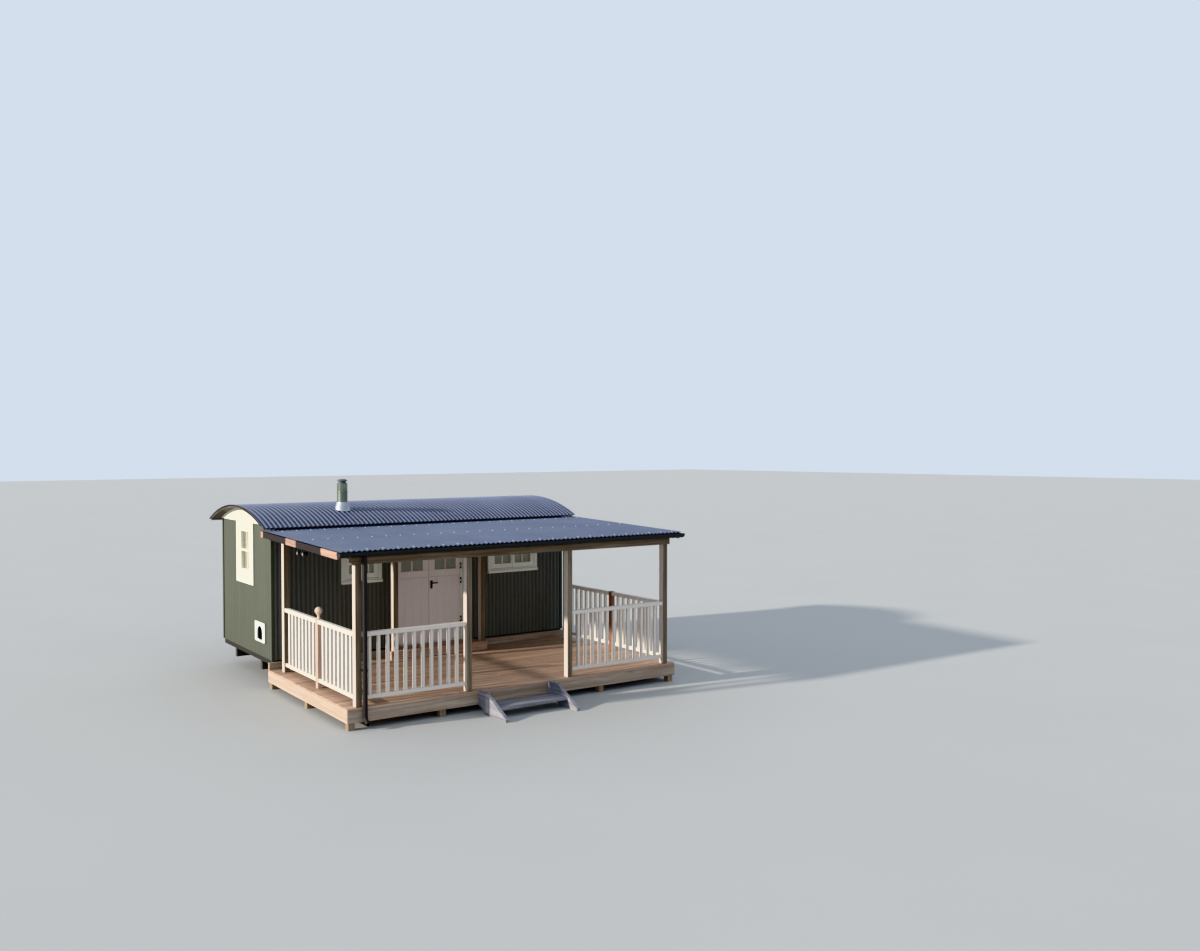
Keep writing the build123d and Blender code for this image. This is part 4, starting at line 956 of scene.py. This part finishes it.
pipe_x, pipe_radius = -2.553, 0.031
pipe_collars = ((2.160, 0.050), (1.896, 0.034), (0.756, 0.034))
collar_in, collar_out = pipe_radius - 0.002, pipe_radius + 0.004
collars = bmesh.new()
for height, rise in pipe_collars:
    collar = [(collar_in, 0), (collar_out, 0), (collar_out, rise), (collar_in, rise)]
    turned(collars, collar, (pipe_x, gutter_y, height), 24, True)
soften(collars)
piece("pipe_collars", collars, pipe_black)

# Porch light: a black iron fitting with two lamps, screwed up under the left barge board. Each lamp has a
# small round lens of frosted glass.
dress(black_iron, "porch_light")
light_low, light_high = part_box("porch_light")
lens_inset, lens_radius, lens_rim, lens_thick, lens_proud = 0.036, 0.014, 0.012, 0.004, 0.001
lens_glass = Finish("lens", Roughness=0.2)
lens_glass.colour(lens_glass.between(lens_glass.noise(120), (0.35, 0.35, 0.34, 1), (0.5, 0.5, 0.49, 1)))
lenses = bmesh.new()
for y in (light_low.y + lens_inset, light_high.y - lens_inset):
    spot = Matrix.Translation((light_low.x - lens_proud, y, light_low.z + lens_inset))
    place = spot @ Matrix.Rotation(math.pi / 2, 4, "Y")
    bmesh.ops.create_cone(
        lenses, cap_ends=True, segments=20, radius1=lens_radius, radius2=lens_rim,
        depth=lens_thick, matrix=place,
    )
piece("light_lenses", lenses, lens_glass.material)

# Balustrades: square balusters housed between a top and a low rail, of planed softwood, fixed between the
# posts and painted off-white. The sides and the front get a paler and a darker copy of one paint, as
# painted sunlight and painted shade.
top_half, top_depth, low_half, low_depth, baluster_half = 0.035, 0.055, 0.025, 0.050, 0.020
rail_top, rail_low = 1.254, 0.379
# Lit and shaded copies of one paint: the front rails get a darker one as painted shade, the side rails a
# paler one as painted sunlight.
painted_shade_front_rails = painted_timber("rail_paint", (0.70, 0.63, 0.56), 0.45, 0.35)
painted_light_side_rails = painted_timber("side_rails_painted_light", (0.84, 0.79, 0.71), 0.45, 0.35)
swap_x_and_y = Matrix(((0, 1, 0, 0), (1, 0, 0, 0), (0, 0, 1, 0), (0, 0, 0, 1)))


def balustrade(name, node, panels, across, finish, along_y=False):
    """Makes balustrade panels; each panel is its start, its end and its number of balusters."""
    made = []
    for start, end, count in panels:
        made.append(((start, across - top_half, rail_top - top_depth), (end, across + top_half, rail_top)))
        made.append(((start, across - low_half, rail_low), (end, across + low_half, rail_low + low_depth)))
        step = (end - start) / (count + 1)
        middle = (start + end) / 2
        for k in range(count):
            x = middle + (k - (count - 1) / 2) * step
            low = (x - baluster_half, across - baluster_half, rail_low + low_depth)
            made.append((low, (x + baluster_half, across + baluster_half, rail_top - top_depth)))
    mesh = bars(made, 0.003, round(1000 * abs(across)) + len(made))
    if along_y:
        bmesh.ops.transform(mesh, matrix=swap_x_and_y, verts=mesh.verts[:])
    piece(name, mesh, finish, hides=(node,))


post_line, side_front, side_back, newel_half = -2.226, -2.181, 0.207, 0.036
newel_y = (side_front + side_back) / 2
left_panel = (-outer_post + post_half, left_bay_post - post_half, 11)
right_panel = (right_bay_post + post_half, outer_post - post_half, 12)
side_panels = [(side_front, newel_y - newel_half, 8), (newel_y + newel_half, side_back, 8)]
balustrade("front_left_rails", "front_left_balustrade", [left_panel], post_line, painted_shade_front_rails)
balustrade("front_right_rails", "front_right_balustrade", [right_panel], post_line, painted_shade_front_rails)
balustrade("left_rails", "left_balustrade", side_panels, -outer_post, painted_light_side_rails, True)
balustrade("right_rails", "right_balustrade", side_panels, outer_post, painted_light_side_rails, True)

# Newels: square posts of bare timber in the middle of both sides, where two panels meet. The left one is
# pinkish, with a turned ball dowelled into its top, and the right one is red.
newel_foot, newel_top, ball_middle, ball_radius = 0.290, 1.262, 1.374, 0.055
pink_timber = sawn_timber("newel_pink", (0.48, 0.340, 0.260), (0.80, 0.62, 0.50), "Z", 0.6)
red_timber = sawn_timber("newel_red", (0.17, 0.080, 0.050), (0.36, 0.195, 0.130), "Z", 0.6)
for name, x, finish in (("left_newel", -outer_post, pink_timber), ("right_newel", outer_post, red_timber)):
    low = (x - newel_half, newel_y - newel_half, newel_foot)
    high = (x + newel_half, newel_y + newel_half, newel_top)
    piece(name, bars([(low, high)], 0.004, 51), finish, hides=("side_newels",))
profile = [
    (0, -0.004), (0.030, -0.004), (0.030, 0.010), (0.022, 0.018), (0.018, 0.040), (0.024, 0.052),
    (0.030, 0.058),
]
ball_steps = 12
for k in range(2, ball_steps + 1):
    angle = math.pi * k / ball_steps
    height = ball_middle - newel_top - ball_radius * math.cos(angle)
    profile.append((ball_radius * math.sin(angle), height))
finial = turned(bmesh.new(), profile, (-outer_post, newel_y, newel_top), 28)
soften(finial, 0.9)
piece("ball_finial", finial, pink_timber)

# Steps: two stringers with clipped tops, screwed to the fascia, and a tread housed between them, of sawn
# boards that have turned grey.
step_dark, step_pale = (0.17, 0.165, 0.19), (0.36, 0.355, 0.385)
dress(sawn_timber("step_along_y", step_dark, step_pale, "Y", 0.72), "step_stringers")
dress(sawn_timber("step_along_x", step_dark, step_pale, "X", 0.72), "step_tread")
